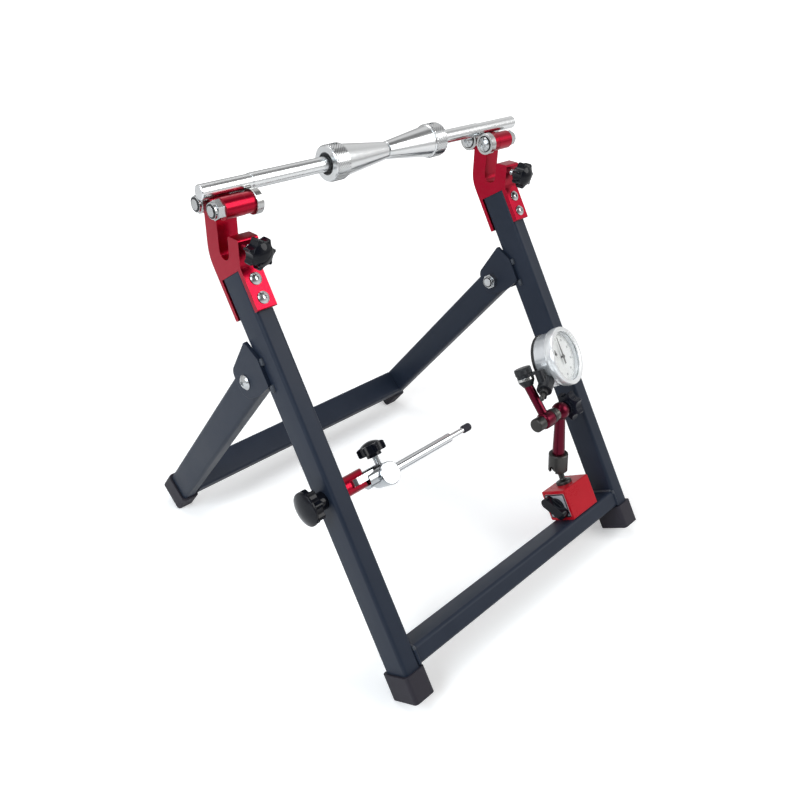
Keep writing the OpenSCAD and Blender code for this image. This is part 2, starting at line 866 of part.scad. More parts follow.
module spindle() {
    shoulder = roller_in - journal_in;
    main_r = spindle_d / 2;
    end_r = journal_d / 2;
    edge = 0.6;
    color(bright)
        at_spindle(0)
            rotate_extrude()
                polygon([
                    [0, -spindle_left],
                    [end_r - edge, -spindle_left],
                    [end_r, -spindle_left + edge],
                    [end_r, -shoulder],
                    [main_r, -shoulder],
                    [main_r, shoulder],
                    [end_r, shoulder],
                    [end_r, spindle_right - edge],
                    [end_r - edge, spindle_right],
                    [0, spindle_right]
                ]);
}

set_screw_at = collar_len * 0.58;
cone_bore_r = spindle_d / 2 + cone_clear;

// Cone with its collar at the origin and its taper towards +Z
module cone() {
    edge = 0.7;
    color(bright)
        difference() {
            rotate_extrude()
                polygon([
                    [cone_bore_r, recess_depth],
                    [recess_d / 2, recess_depth],
                    [recess_d / 2, 0],
                    [collar_d / 2 - edge, 0],
                    [collar_d / 2, edge],
                    [collar_d / 2, collar_len - edge],
                    [collar_d / 2 - edge, collar_len],
                    [cone_wide / 2, collar_len],
                    [cone_narrow / 2, collar_len + cone_len - edge],
                    [cone_narrow / 2 - edge, collar_len + cone_len],
                    [cone_bore_r, collar_len + cone_len]
                ]);
            translate([0, 0, set_screw_at])
                rotate([0, -90, 0]) cylinder(d = set_screw_d + 2 * fit, h = collar_d);
        }
}

// Set screw with a hexagon socket, its tip just off the spindle
module cone_screw() {
    tip = cone_bore_r + 0.05;
    len = collar_d / 2 - 1.2 - tip;
    color(gunmetal)
        translate([0, 0, set_screw_at])
            rotate([0, -90, 0])
                translate([0, 0, tip])
                    difference() {
                        cylinder(d = set_screw_d, h = len);
                        translate([0, 0, len - 2.2]) hex(set_screw_d * 0.5, 3);
                    }
}

module cone_left() {
    at_spindle(-cone_left_at) cone();
}

module cone_left_screw() {
    at_spindle(-cone_left_at) cone_screw();
}

module cone_right() {
    mirror([1, 0, 0]) at_spindle(-cone_right_at) cone();
}

module cone_right_screw() {
    mirror([1, 0, 0]) at_spindle(-cone_right_at) cone_screw();
}

// Clamps across the axle slots

clamp_hole = clamp_knob_h * 0.6;

module at_clamp(x, y) {
    translate([x, y, clamp_z]) rotate([90, 0, 0]) children();
}

module clamp_knob(x) {
    color(black) at_clamp(x, clamp_back) 
        star_knob(clamp_knob_d, clamp_knob_h, clamp_knob_h * 0.25, 7, clamp_screw_d, clamp_hole);
}

module clamp_screw(x) {
    color(zinc)
        at_clamp(x, lug_back - clamp_pad_len - fit)
            cylinder(d = clamp_screw_d, h = lug_d - clamp_pad_len + clamp_gap + clamp_hole - 2 * fit);
}

module clamp_pad(x) {
    color(zinc) at_clamp(x, lug_back) cylinder(d = clamp_screw_d, h = clamp_pad_len);
}

module clamp_left_knob() {
    clamp_knob(-leg_x);
}

module clamp_left_screw() {
    clamp_screw(-leg_x);
}

module clamp_left_pad() {
    clamp_pad(-leg_x);
}

module clamp_right_knob() {
    clamp_knob(leg_x);
}

module clamp_right_screw() {
    clamp_screw(leg_x);
}

module clamp_right_pad() {
    clamp_pad(leg_x);
}

// Pointer

knob_hole = pointer_knob_h * 0.6;

module at_pointer() {
    translate([0, pointer_y, pointer_z]) children();
}

module pointer_knob() {
    color(black)
        at_pointer()
            translate([-knob_back, 0, 0])
                rotate([0, -90, 0])
                    star_knob(pointer_knob_d, pointer_knob_h, pointer_hub, 7, stud_d, knob_hole);
}

// Axes of the clevis and the link: X along the arm, Z along the clevis pin and the lock screw
module at_arm() {
    at_pointer() rotate([barrel_turn - 90, 0, 0]) children();
}

module pointer_clevis() {
    color(red)
        at_arm()
            difference() {
                intersection() {
                    along_x(-leg_in + side) cylinder(d = clevis_d, h = 2 * clevis_reach);
                    union() {
                        translate([-leg_in, -clevis_d, -clevis_d])
                            cube([clevis_reach, 2 * clevis_d, 2 * clevis_d]);
                        translate([pin_x, 0, -clevis_d]) cylinder(r = clevis_end, h = 2 * clevis_d);
                    }
                }
                translate([pin_x - clevis_end, -clevis_d, -clevis_slot / 2])
                    cube([2 * clevis_d, 2 * clevis_d, clevis_slot]);
                translate([pin_x, 0, -clevis_d])
                    cylinder(d = clevis_pin_d + 2 * fit, h = clevis_d + pin_top + fit);
                along_x(-leg_in - 1) cylinder(d = stud_d + 2 * fit, h = stud_seat + 1 + fit);
            }
}

// Stud through the leg and pin of the clevis, pressed in from below
module clevis_pins() {
    stud_from = -knob_back - knob_hole + fit;
    pin_from = -clevis_d / 2 + 0.6;
    color(zinc)
        at_arm() {
            along_x(stud_from) cylinder(d = stud_d, h = stud_seat - leg_in - stud_from);
            translate([pin_x, 0, pin_from]) cylinder(d = clevis_pin_d, h = pin_top - pin_from);
        }
}

// Swivel link: a tongue in the clevis, a shank and a barrel that the rod passes through
module pointer_link() {
    tongue_h = clevis_slot - 2 * side;
    tongue_r = clevis_d / 2 - 1.5;
    shank_x = pin_x + clevis_end + 0.5;
    half = barrel_len / 2;
    edge = 0.8;
    color(bright)
        at_arm()
            difference() {
                union() {
                    translate([pin_x, 0, -tongue_h / 2]) cylinder(r = tongue_r, h = tongue_h);
                    translate([pin_x, -tongue_r, -tongue_h / 2]) cube([clevis_d, 2 * tongue_r, tongue_h]);
                    translate([0, 0, -rod_drop / 2]) along_x(shank_x)
                        cylinder(d = shank_d, h = barrel_x - shank_x);
                    translate([barrel_x, 0, -rod_drop])
                        rotate([90, 0, 0])
                            rotate_extrude()
                                polygon([
                                    [0, -half],
                                    [barrel_d / 2 - edge, -half],
                                    [barrel_d / 2, -half + edge],
                                    [barrel_d / 2, half - edge],
                                    [barrel_d / 2 - edge, half],
                                    [0, half]
                                ]);
                }
                translate([pin_x, 0, -clevis_d]) cylinder(d = clevis_pin_d + 2 * run, h = 2 * clevis_d);
                translate([0, 0, -rod_drop])
                    along_x(rod_start - side) cylinder(d = rod_d + 2 * run, h = 2 * barrel_d);
                translate([barrel_x - lock_back, 0, -rod_drop])
                    cylinder(d = lock_screw_d + 2 * run, h = 2 * barrel_d);
            }
}

lock_seat = barrel_d / 2 + lock_gap;
lock_hole = lock_knob_h * 0.6;

module at_lock(reach) {
    at_arm() translate([barrel_x - lock_back, 0, reach - rod_drop]) children();
}

module pointer_lock_knob() {
    color(black)
        at_lock(lock_seat)
            star_knob(lock_knob_d, lock_knob_h, lock_knob_h * 0.25, 7, lock_screw_d, lock_hole);
}

module pointer_lock_screw() {
    tip = rod_d / 2 + 0.15;
    color(zinc) at_lock(tip) cylinder(d = lock_screw_d, h = lock_seat + lock_hole - tip - fit);
}

module at_rod(x) {
    translate([x, rod_y, rod_z]) rotate([0, 90, 0]) children();
}

module pointer_rod() {
    color(bright)
        at_rod(0)
            rotate_extrude()
                polygon([
                    [0, rod_start],
                    [rod_d / 2, rod_start],
                    [rod_d / 2, rod_step - 0.8],
                    [rod_d / 2 - 0.8, rod_step],
                    [rod_thin_d / 2, rod_step],
                    [rod_thin_d / 2, tip_start + tip_len / 2],
                    [0, tip_start + tip_len / 2]
                ]);
}

module pointer_tip() {
    r = tip_d / 2;
    pocket = rod_thin_d / 2 + fit;
    depth = tip_len / 2 + fit;
    color(rubber)
        at_rod(tip_start)
            rotate_extrude()
                polygon(round_path([
                    [[pocket, 0], 0],
                    [[r, 0], 0.6],
                    [[r, tip_len], 2],
                    [[0, tip_len], 0],
                    [[0, depth], 0],
                    [[pocket, depth], 0]
                ]));
}

// Gauge base

base_face = gauge_x - base_w / 2;
switch_shaft_d = 6;

module at_switch(x) {
    on_leg(x, bar_top + base_h / 2, base_back) rotate([0, -90, 0]) children();
}

module gauge_base() {
    color(red)
        difference() {
            on_leg(0, bar_top + base_h / 2, base_back)
                along_x(base_face) linear_extrude(base_w) rounded_rect(base_d, base_h, base_edge);
            at_switch(base_face) translate([0, 0, -6]) cylinder(d = switch_shaft_d + 2 * run, h = 7);
            on_leg(gauge_x, base_top - 6, base_back) cylinder(d = stud_neck_d + 2 * fit, h = 7);
        }
}

module switch_plate() {
    color(zinc)
        at_switch(base_face)
            difference() {
                linear_extrude(switch_plate_th) rounded_rect(switch_plate_w, switch_plate_w, 1.5);
                translate([0, 0, -1]) cylinder(d = switch_shaft_d + 2 * run, h = switch_plate_th + 2);
            }
}

// Rotary handle: a long bar with round ends on a disc
module switch_handle() {
    disc_h = switch_h * 0.3;
    reach = (switch_len - switch_w) / 2;
    color(black)
        at_switch(base_face - switch_plate_th - side)
            rotate([0, 0, switch_angle]) {
                cylinder(d = switch_w * 1.7, h = disc_h);
                translate([-reach, -switch_w / 2, 0]) cube([2 * reach, switch_w, switch_h]);
                for (s = [-1, 1])
                    translate([s * reach, 0, 0]) cylinder(d = switch_w, h = switch_h);
                translate([0, 0, -switch_plate_th - side - 5])
                    cylinder(d = switch_shaft_d, h = switch_plate_th + side + 6);
            }
}

// Ball stud that carries the arms
module ball_stud() {
    r = stud_neck_d / 2;
    color(gunmetal)
        on_leg(gauge_x, base_top, base_back) {
            rotate_extrude()
                polygon(round_path([
                    [[0, -5.9], 0],
                    [[r, -5.9], 0],
                    [[r, 0], 0],
                    [[stud_flange_d / 2, 0], 0],
                    [[stud_flange_d / 2, stud_flange_h], 1],
                    [[r, stud_flange_h + 1.2], 2],
                    [[r, ball_rise - 2], 0],
                    [[0, ball_rise - 2], 0]
                ]));
            translate([0, 0, ball_rise]) sphere(d = ball_d);
        }
}

// Gauge arms

arm_seat = cup_up - 3;
ball_half = arm_ball_d * 0.44;

module on_lower_arm() {
    on_leg(gauge_x, ball_t, base_back) rotate([arm_lean, 0, 0]) children();
}

module lower_arm() {
    color(red)
        on_lower_arm()
            difference() {
                union() {
                    translate([0, 0, arm_seat])
                        cylinder(d1 = lower_arm_wide, d2 = lower_arm_thin, h = lower_arm_len - arm_seat);
                    intersection() {
                        translate([0, 0, lower_arm_len]) sphere(d = arm_ball_d);
                        translate([0, 0, lower_arm_len])
                            cube([2 * ball_half, 2 * arm_ball_d, 2 * arm_ball_d], center = true);
                    }
                }
                translate([0, 0, lower_arm_len])
                    rotate([0, 90, 0])
                        cylinder(d = joint_bolt_d + 2 * fit, h = 2 * arm_ball_d, center = true);
            }
}

eye_left = upper_x - eye_w / 2;
eye_right = upper_x + eye_w / 2;
ball_left = gauge_x - ball_half;
ring_split = (eye_right + ball_left) / 2 - 0.5;

module at_joint(x) {
    on_leg(x, joint_t, joint_n) rotate([0, 90, 0]) children();
}

// Slotted cup round the ball, end cap of the joint and the dark ring beside the upper arm
module arm_fittings() {
    bore_r = ball_d / 2 + fit;
    slot_half = stud_neck_d / 2 + 0.4;
    color(gunmetal) {
        on_lower_arm()
            difference() {
                rotate_extrude()
                    polygon([
                        [0, bore_r],
                        [bore_r, bore_r],
                        [bore_r, -cup_down],
                        [cup_d / 2 - 0.6, -cup_down],
                        [cup_d / 2, -cup_down + 0.6],
                        [cup_d / 2, cup_up - 0.8],
                        [cup_d / 2 - 0.8, cup_up],
                        [lower_arm_wide / 2 + fit, cup_up],
                        [lower_arm_wide / 2 + fit, arm_seat],
                        [0, arm_seat]
                    ]);
                rotate([0, -90, 0]) cylinder(r = slot_half, h = cup_d);
                translate([-cup_d, -slot_half, -cup_down - 1]) cube([cup_d, 2 * slot_half, cup_down + 1]);
            }
        at_joint(eye_left - side - end_cap_len)
            difference() {
                rotate_extrude()
                    polygon(round_path([
                        [[0, 0], 0],
                        [[end_cap_d / 2, 0], 1.2],
                        [[end_cap_d / 2, end_cap_len], 0.6],
                        [[0, end_cap_len], 0]
                    ]));
                translate([0, 0, 2]) cylinder(d = joint_bolt_d + 2 * fit, h = end_cap_len);
            }
        at_joint(eye_right + side)
            ring(eye_d - 1.5, joint_bolt_d + 2 * fit, ring_split - eye_right - 2 * side);
    }
}

// Bolt through the middle joint with the bright ring beside the lower arm
module joint_bolt() {
    from = eye_left - side - end_cap_len + 2 + fit;
    to = gauge_x + ball_half + side + joint_knob_h * 0.6 - fit;
    color(zinc) {
        at_joint(from) cylinder(d = joint_bolt_d, h = to - from);
        at_joint(ring_split) ring(eye_d - 3, joint_bolt_d - 1, ball_left - ring_split);
    }
}

module joint_knob() {
    color(black)
        at_joint(gauge_x + ball_half + side)
            star_knob(joint_knob_d, joint_knob_h, joint_knob_h * 0.25, 7, joint_bolt_d, joint_knob_h * 0.6);
}

module upper_arm() {
    half = eye_w / 2;
    color(red)
        difference() {
            union() {
                on_leg(upper_x, joint_t, joint_n)
                    rotate([-upper_lean, 0, 0]) cylinder(d = upper_arm_d, h = upper_arm_len + upper_arm_d);
                at_joint(upper_x)
                    rotate_extrude()
                        polygon(round_path([
                            [[0, -half], 0],
                            [[eye_d / 2, -half], 2.4],
                            [[eye_d / 2, half], 2.4],
                            [[0, half], 0]
                        ]));
            }
            on_leg(upper_x, swivel_t, swivel_n)
                translate([-eye_d, -eye_d, 0]) cube([2 * eye_d, 2 * eye_d, 2 * eye_d]);
            at_joint(upper_x) cylinder(d = joint_bolt_d + 2 * run, h = 2 * eye_w, center = true);
        }
}

module at_swivel(t) {
    on_leg(upper_x, t, swivel_n) children();
}

// Cone on the upper arm with the pin of the swivel
module top_swivel() {
    color(black)
        at_swivel(swivel_t) {
            cylinder(d1 = upper_arm_d + 1.4, d2 = top_cone_d, h = top_cone_h - 1.5);
            translate([0, 0, top_cone_h - 1.5]) cylinder(d = top_cone_d, h = 1.5);
            cylinder(d = swivel_pin_d, h = cap_t - swivel_t + swivel_cap_h * 0.6 - fit);
        }
}

module swivel_ring() {
    color(bright) at_swivel(ring_t) ring(top_cone_d + 0.6, swivel_pin_d + 2 * fit, swivel_ring_h);
}

module swivel_cap() {
    r = swivel_cap_d / 2;
    color(black)
        at_swivel(cap_t)
            difference() {
                rotate_extrude()
                    polygon(round_path([
                        [[0, 0], 0],
                        [[r, 0], 0.6],
                        [[r, swivel_cap_h], 1.2],
                        [[0, swivel_cap_h], 0]
                    ]));
                translate([0, 0, -1]) cylinder(d = swivel_pin_d + 2 * fit, h = swivel_cap_h * 0.6 + 1);
            }
}

// Dial holder: an eye on the swivel, a post and a split sleeve round the dial stem

post_shift = 2.2;
post_r = 4.1;
arm_half = 3.4;

// Axes of the dial with the sleeve at the origin: X to the right, Y up, Z out of the face
module at_sleeve() {
    on_leg(upper_x + holder_side, sleeve_t, swivel_n - holder_front)
        rotate([0, 0, dial_turn])
            rotate([90, 0, 0])
                children();
}

// Same axes with the middle of the bezel's front at the origin
module on_dial() {
    at_sleeve()
        translate([sleeve_at * cos(stem_turn), sleeve_at * sin(stem_turn), stem_depth])
            children();
}

// Turns +Z along the dial stem, away from the case
module down_stem() {
    rotate([0, 0, 180 + stem_turn]) rotate([0, 90, 0]) children();
}

module dial_holder() {
    post_x = holder_side - post_shift;
    color(black)
        difference() {
            union() {
                at_swivel(eye_t) {
                    cylinder(d = top_cone_d, h = holder_eye_h);
                    rotate([0, 0, atan2(-holder_front, post_x)])
                        translate([0, -arm_half, 0])
                            cube([norm([holder_front, post_x]), 2 * arm_half, holder_eye_h]);
                    translate([post_x, -holder_front, -holder_drop + 3])
                        cylinder(r = post_r, h = holder_drop + holder_eye_h - 3);
                }
                at_sleeve() down_stem() translate([0, 0, -sleeve_len / 2])
                    cylinder(d = sleeve_d, h = sleeve_len);
            }
            at_swivel(eye_t) translate([0, 0, -1]) cylinder(d = swivel_pin_d + 2 * run, h = holder_eye_h + 2);
            at_sleeve() down_stem() translate([0, 0, -sleeve_len])
                cylinder(d = stem_tube_d + 2 * fit, h = 2 * sleeve_len);
            at_thumb(0) cylinder(d = 4 + 2 * run, h = sleeve_d);
        }
}

// Axis of the thumb screw, square to the dial stem
module at_thumb(reach) {
    at_sleeve()
        rotate([0, 0, stem_turn])
            rotate([thumb_turn, 0, 0])
                rotate([90, 0, 0])
                    translate([0, 0, reach])
                        children();
}

module thumb_screw() {
    tip = stem_tube_d / 2 + 0.2;
    seat = sleeve_d / 2 + 1.2;
    color(black)
        at_thumb(tip) {
            cylinder(d = 4, h = seat - tip + 1);
            translate([0, 0, seat - tip]) {
                cylinder(d = thumb_d * 0.75, h = 2);
                translate([0, 0, 1.5])
                    intersection() {
                        cylinder(d = thumb_d, h = 5.5);
                        cube([thumb_d, thumb_d * 0.72, 20], center = true);
                    }
            }
        }
}

// Dial

bezel_r = bezel_d / 2;
glass_r = glass_d / 2;
case_r = case_d / 2;
glass_at = 2;
glass_h = 1.4;
face_at = bezel_h - 1.2;
counter_x = -9;
counter_y = 5;

module dial_bezel() {
    color(bright)
        on_dial()
            rotate_extrude()
                polygon(round_path([
                    [[glass_r - 1, -glass_at], 0],
                    [[glass_r - 1, -0.6], 0],
                    [[glass_r + 0.4, 0], 0],
                    [[bezel_r - 0.6, 0], 0],
                    [[bezel_r, -1.4], 0],
                    [[bezel_r, -bezel_h + 2.4], 0],
                    [[bezel_r - 0.8, -bezel_h], 0],
                    [[case_r + run, -bezel_h], 0],
                    [[case_r + run, -glass_at - glass_h - side], 0],
                    [[glass_r + fit, -glass_at - glass_h - side], 0],
                    [[glass_r + fit, -glass_at], 0]
                ]));
}

module dial_glass() {
    color("#dfe8ee", 0.3)
        on_dial() translate([0, 0, -glass_at - glass_h]) cylinder(r = glass_r, h = glass_h - fit);
}

// Case with its collar inside the bezel, its black back and the stem tube
module dial_case() {
    collar = glass_at + glass_h + 2 * side;
    depth = bezel_h + case_h;
    color(zinc)
        on_dial()
            difference() {
                union() {
                    rotate_extrude()
                        polygon([
                            [case_r - case_wall, -collar],
                            [case_r, -collar],
                            [case_r, -depth],
                            [back_d / 2, -depth],
                            [back_d / 2, -depth - back_h + 0.8],
                            [back_d / 2 - 0.8, -depth - back_h],
                            [0, -depth - back_h],
                            [0, -depth],
                            [case_r - case_wall - 1.2, -depth],
                            [case_r - case_wall - 1.2, -face_at - 1.2],
                            [case_r - case_wall, -face_at - 1.2]
                        ]);
                    translate([0, 0, -stem_depth])
                        down_stem() translate([0, 0, case_r - 1.5])
                            cylinder(d = stem_tube_d, h = stem_reach - case_r + 1.5);
                }
                translate([0, 0, -stem_depth]) down_stem()
                    cylinder(d = plunger_d + 2 * run, h = 2 * stem_reach);
            }
}

module dial_face() {
    color(white)
        on_dial()
            translate([0, 0, -face_at - 1.2])
                difference() {
                    cylinder(r = case_r - case_wall - fit, h = 1.2);
                    translate([0, 0, -1]) cylinder(d = 2 + 2 * run, h = 4);
                    translate([counter_x, counter_y, -1]) cylinder(d = 1.4 + 2 * run, h = 4);
                }
}

// Flat pointer with a hub, a counterweight tail and an arbor through the face
module hand(len, w, tail, arbor_d, lift) {
    linear_extrude(0.4)
        polygon([[-w / 2, -tail], [w / 2, -tail], [w * 0.7, 0], [0.12, len], [-0.12, len], [-w * 0.7, 0]]);
    cylinder(d = 2.2 * w, h = 0.8);
    translate([0, 0, -lift - 3]) cylinder(d = arbor_d, h = lift + 3.4);
}

module dial_needle() {
    color(black) on_dial() translate([0, 0, -face_at + 2]) hand(19, 1.6, 7, 2, 2);
}

module dial_counter() {
    color(black) on_dial() translate([counter_x, counter_y, -face_at + 0.5]) hand(4.2, 0.9, 1.6, 1.4, 0.5);
}

module dial_plunger() {
    tail = case_r / 2;
    len = stem_reach + plunger_out - plunger_d / 2;
    color(gunmetal)
        on_dial()
            translate([0, 0, -stem_depth])
                down_stem() {
                    translate([0, 0, tail]) cylinder(d = plunger_d, h = len - tail);
                    translate([0, 0, len]) sphere(d = plunger_d - 2 * run);
                }
}

front_leg_left();
front_leg_right();
front_crossbar();
front_feet();
hinge_plates();
hinge_bolts();
bracket_left();
bracket_right();
bracket_bolts();
roller_spacers();
roller_cores();
rear_leg_left();
rear_leg_right();
rear_crossbar();
rear_feet();
hinge_bushes();
roller_left_front();
roller_left_rear();
roller_right_front();
roller_right_rear();
spindle();
cone_left();
cone_left_screw();
cone_right();
cone_right_screw();
clamp_left_knob();
clamp_left_screw();
clamp_left_pad();
clamp_right_knob();
clamp_right_screw();
clamp_right_pad();
pointer_knob();
pointer_clevis();
clevis_pins();
pointer_link();
pointer_lock_knob();
pointer_lock_screw();
pointer_rod();
pointer_tip();
gauge_base();
switch_plate();
switch_handle();
ball_stud();
lower_arm();
arm_fittings();
joint_bolt();
joint_knob();
upper_arm();
top_swivel();
swivel_ring();
swivel_cap();
dial_holder();
thumb_screw();
dial_case();
dial_bezel();
dial_glass();
dial_face();
dial_needle();
dial_counter();
dial_plunger();
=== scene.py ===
import json
import math
import bpy
from mathutils import Matrix, Quaternion, Vector


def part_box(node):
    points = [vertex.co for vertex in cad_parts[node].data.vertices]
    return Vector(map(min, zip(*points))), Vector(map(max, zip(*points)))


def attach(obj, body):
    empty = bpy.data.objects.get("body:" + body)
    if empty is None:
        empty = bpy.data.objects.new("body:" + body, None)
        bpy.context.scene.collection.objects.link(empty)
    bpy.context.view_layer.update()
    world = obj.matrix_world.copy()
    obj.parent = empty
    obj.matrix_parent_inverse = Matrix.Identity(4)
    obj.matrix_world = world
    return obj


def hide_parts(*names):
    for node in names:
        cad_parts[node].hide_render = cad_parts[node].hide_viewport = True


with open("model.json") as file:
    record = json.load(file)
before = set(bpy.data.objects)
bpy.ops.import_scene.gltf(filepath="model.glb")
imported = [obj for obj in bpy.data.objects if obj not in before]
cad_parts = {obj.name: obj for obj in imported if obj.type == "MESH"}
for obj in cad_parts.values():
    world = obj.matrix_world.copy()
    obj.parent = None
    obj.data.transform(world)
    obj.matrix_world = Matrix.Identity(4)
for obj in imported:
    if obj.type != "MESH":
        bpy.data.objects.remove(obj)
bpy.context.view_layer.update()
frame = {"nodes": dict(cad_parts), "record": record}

scene = bpy.context.scene
nodes = frame["nodes"]


# short ways to add shader nodes; a plain number or tuple is set, a socket is linked
def feed(tree, socket, value):
    if isinstance(value, (int, float, tuple, Vector)):
        socket.default_value = value
    else:
        tree.links.new(value, socket)


def mathNode(tree, operation, *values):
    node = tree.nodes.new("ShaderNodeMath")
    node.operation = operation
    for index, value in enumerate(values):
        feed(tree, node.inputs[index], value)
    return node.outputs[0]


def vectorNode(tree, operation, *values):
    node = tree.nodes.new("ShaderNodeVectorMath")
    node.operation = operation
    for index, value in enumerate(values):
        feed(tree, node.inputs[index], value)
    return node.outputs["Value" if operation in ("DOT_PRODUCT", "LENGTH") else "Vector"]


def rangeNode(tree, value, fromSpan, toSpan=(0.0, 1.0), smooth=False):
    node = tree.nodes.new("ShaderNodeMapRange")
    if smooth:
        node.interpolation_type = "SMOOTHSTEP"
    tree.links.new(value, node.inputs["Value"])
    for label, spanEnd in zip(("From Min", "From Max", "To Min", "To Max"), (*fromSpan, *toSpan)):
        node.inputs[label].default_value = spanEnd
    return node.outputs["Result"]


def noiseNode(tree, vector, scale, detail):
    node = tree.nodes.new("ShaderNodeTexNoise")
    node.inputs["Detail"].default_value = detail
    feed(tree, node.inputs["Scale"], scale)
    tree.links.new(vector, node.inputs["Vector"])
    return node.outputs["Fac"]


def mixShaders(tree, amount, first, second):
    node = tree.nodes.new("ShaderNodeMixShader")
    for index, value in enumerate((amount, first, second)):
        tree.links.new(value, node.inputs[index])
    return node.outputs[0]


# camera matched to the photograph's viewpoint
cameraSetup = {
    "place": (-0.451164, -0.442370, 0.532947),
    "lookAt": (0.0223, 0.020371, 0.122289),
    "rollDegrees": 1.672,
    "lens": 35.3125, "sensor": 36, "clip": (0.01, 50),
}

# lamps: place, size in metres, power in watts, tint
lampSetup = {
    "key": {"place": (0.74, -1.10, 1.15), "size": 1.15, "power": 12, "tint": (1.0, 0.995, 0.985)},
    "side": {"place": (-1.25, -0.15, 0.95), "size": 0.9, "power": 14, "tint": (0.86, 0.94, 1.0)},
    "top": {"place": (-0.10, 0.45, 1.70), "size": 1.1, "power": 9, "tint": (0.97, 0.985, 1.0)},
}
lampTarget = (0.0, 0.0, 0.16)

# white room; metal also sees its darker corners: direction, where the patch starts and is full, level
roomSetup = {
    "lightLevel": 0.34, "reflectedLevel": 0.82,
    "darkPatches": [
        {"toward": (-0.62, -0.62, 0.48), "spread": (0.35, 0.95), "level": 0.18},
        {"toward": (0.44, -0.17, 0.88), "spread": (0.885, 0.975), "level": 0.26},
        {"toward": (0.20, 0.97, 0.15), "spread": (0.70, 0.95), "level": 0.45},
    ],
}
# pale floor: its glow grows from the first radius to the second, and mirrors see a share of it
floorSetup = {
    "size": 60.0, "drop": 0.0003, "colour": (0.93, 0.93, 0.93), "glow": (0.31, 1.0), "fade": (0.5, 1.4),
    "glossyShare": 0.25,
}


def makeCamera():
    data = bpy.data.cameras.new("photoCamera")
    data.lens = cameraSetup["lens"]
    data.sensor_width = cameraSetup["sensor"]
    data.clip_start, data.clip_end = cameraSetup["clip"]
    cam = bpy.data.objects.new("photoCamera", data)
    scene.collection.objects.link(cam)
    place = Vector(cameraSetup["place"])
    look = Vector(cameraSetup["lookAt"]) - place
    roll = Quaternion((0, 0, 1), math.radians(cameraSetup["rollDegrees"]))
    cam.rotation_mode = "QUATERNION"
    cam.location = place
    cam.rotation_quaternion = look.to_track_quat("-Z", "Y") @ roll
    scene.camera = cam
    print("camera placed")


def seenMask(tree, glossyShare=1.0):
    path = tree.nodes.new("ShaderNodeLightPath")
    glossy = mathNode(tree, "MULTIPLY", path.outputs["Is Glossy Ray"], glossyShare)
    straight = mathNode(tree, "MAXIMUM", path.outputs["Is Camera Ray"], glossy)
    return mathNode(tree, "MAXIMUM", straight, path.outputs["Is Transmission Ray"])


def makeWorld():
    world = bpy.data.worlds.new("studio")
    scene.world = world
    world.use_nodes = True
    tree = world.node_tree
    tree.nodes.clear()
    out = tree.nodes.new("ShaderNodeOutputWorld")
    lit = tree.nodes.new("ShaderNodeBackground")
    lit.inputs["Strength"].default_value = roomSetup["lightLevel"]
    seen = tree.nodes.new("ShaderNodeBackground")
    seen.inputs["Color"].default_value = (1, 1, 1, 1)
    look = tree.nodes.new("ShaderNodeTexCoord").outputs["Generated"]
    level = roomSetup["reflectedLevel"]
    for patch in roomSetup["darkPatches"]:
        toward = vectorNode(tree, "DOT_PRODUCT", look, Vector(patch["toward"]).normalized())
        dim = rangeNode(tree, toward, patch["spread"], (1.0, patch["level"]), smooth=True)
        level = mathNode(tree, "MULTIPLY", level, dim)
    path = tree.nodes.new("ShaderNodeLightPath")
    shown = mathNode(tree, "MAXIMUM", path.outputs["Is Camera Ray"], level)
    tree.links.new(shown, seen.inputs["Strength"])
    both = mixShaders(tree, seenMask(tree), lit.outputs[0], seen.outputs[0])
    tree.links.new(both, out.inputs["Surface"])
    print("world set")


def makeLamps():
    for name, setup in lampSetup.items():
        data = bpy.data.lights.new(name + "Lamp", "AREA")
        data.shape = "DISK"
        data.size = setup["size"]
        data.energy = setup["power"]
        data.color = setup["tint"]
        lamp = bpy.data.objects.new(name + "Lamp", data)
        scene.collection.objects.link(lamp)
        lamp.location = setup["place"]
        aim = Vector(lampTarget) - Vector(setup["place"])
        lamp.rotation_mode = "QUATERNION"
        lamp.rotation_quaternion = aim.to_track_quat("-Z", "Y")
    print("lamps set")


def makeFloor():
    bpy.ops.object.select_all(action="DESELECT")
    bpy.ops.mesh.primitive_plane_add(size=floorSetup["size"], location=(0, 0, -floorSetup["drop"]))
    floor = bpy.context.object
    floor.name = "studioFloor"
    mat = bpy.data.materials.new("studioFloor")
    mat.use_nodes = True
    tree = mat.node_tree
    tree.nodes.clear()
    out = tree.nodes.new("ShaderNodeOutputMaterial")
    cover = tree.nodes.new("ShaderNodeBsdfDiffuse")
    cover.inputs["Color"].default_value = (*floorSetup["colour"], 1)
    glow = tree.nodes.new("ShaderNodeEmission")
    reach = vectorNode(tree, "LENGTH", tree.nodes.new("ShaderNodeTexCoord").outputs["Object"])
    fade = rangeNode(tree, reach, floorSetup["fade"], floorSetup["glow"], smooth=True)
    amount = mathNode(tree, "MULTIPLY", seenMask(tree, floorSetup["glossyShare"]), fade)
    tree.links.new(amount, glow.inputs["Strength"])
    both = tree.nodes.new("ShaderNodeAddShader")
    tree.links.new(cover.outputs[0], both.inputs[0])
    tree.links.new(glow.outputs[0], both.inputs[1])
    tree.links.new(both.outputs[0], out.inputs["Surface"])
    floor.data.materials.append(mat)
    print("floor laid")


scene.view_settings.view_transform = "Standard"
makeCamera()
makeWorld()
makeLamps()
makeFloor()

# shared effects, each a group that puts out only values, masks and normals
effectSetup = {
    "edge": {
        "samples": 6, "sharp": (0.02, 0.22), "patchScale": 140.0, "patchDetail": 3.0, "patch": (0.4, 0.62),
    },
    "grain": {
        "fineDetail": 2.0, "broadScale": 28.0, "broadDetail": 4.0, "broadShare": 0.65, "fineShare": 0.35,
        "span": (0.3, 0.7),
    },
    "turned": {"detail": 2.0, "span": (0.3, 0.7)},
}


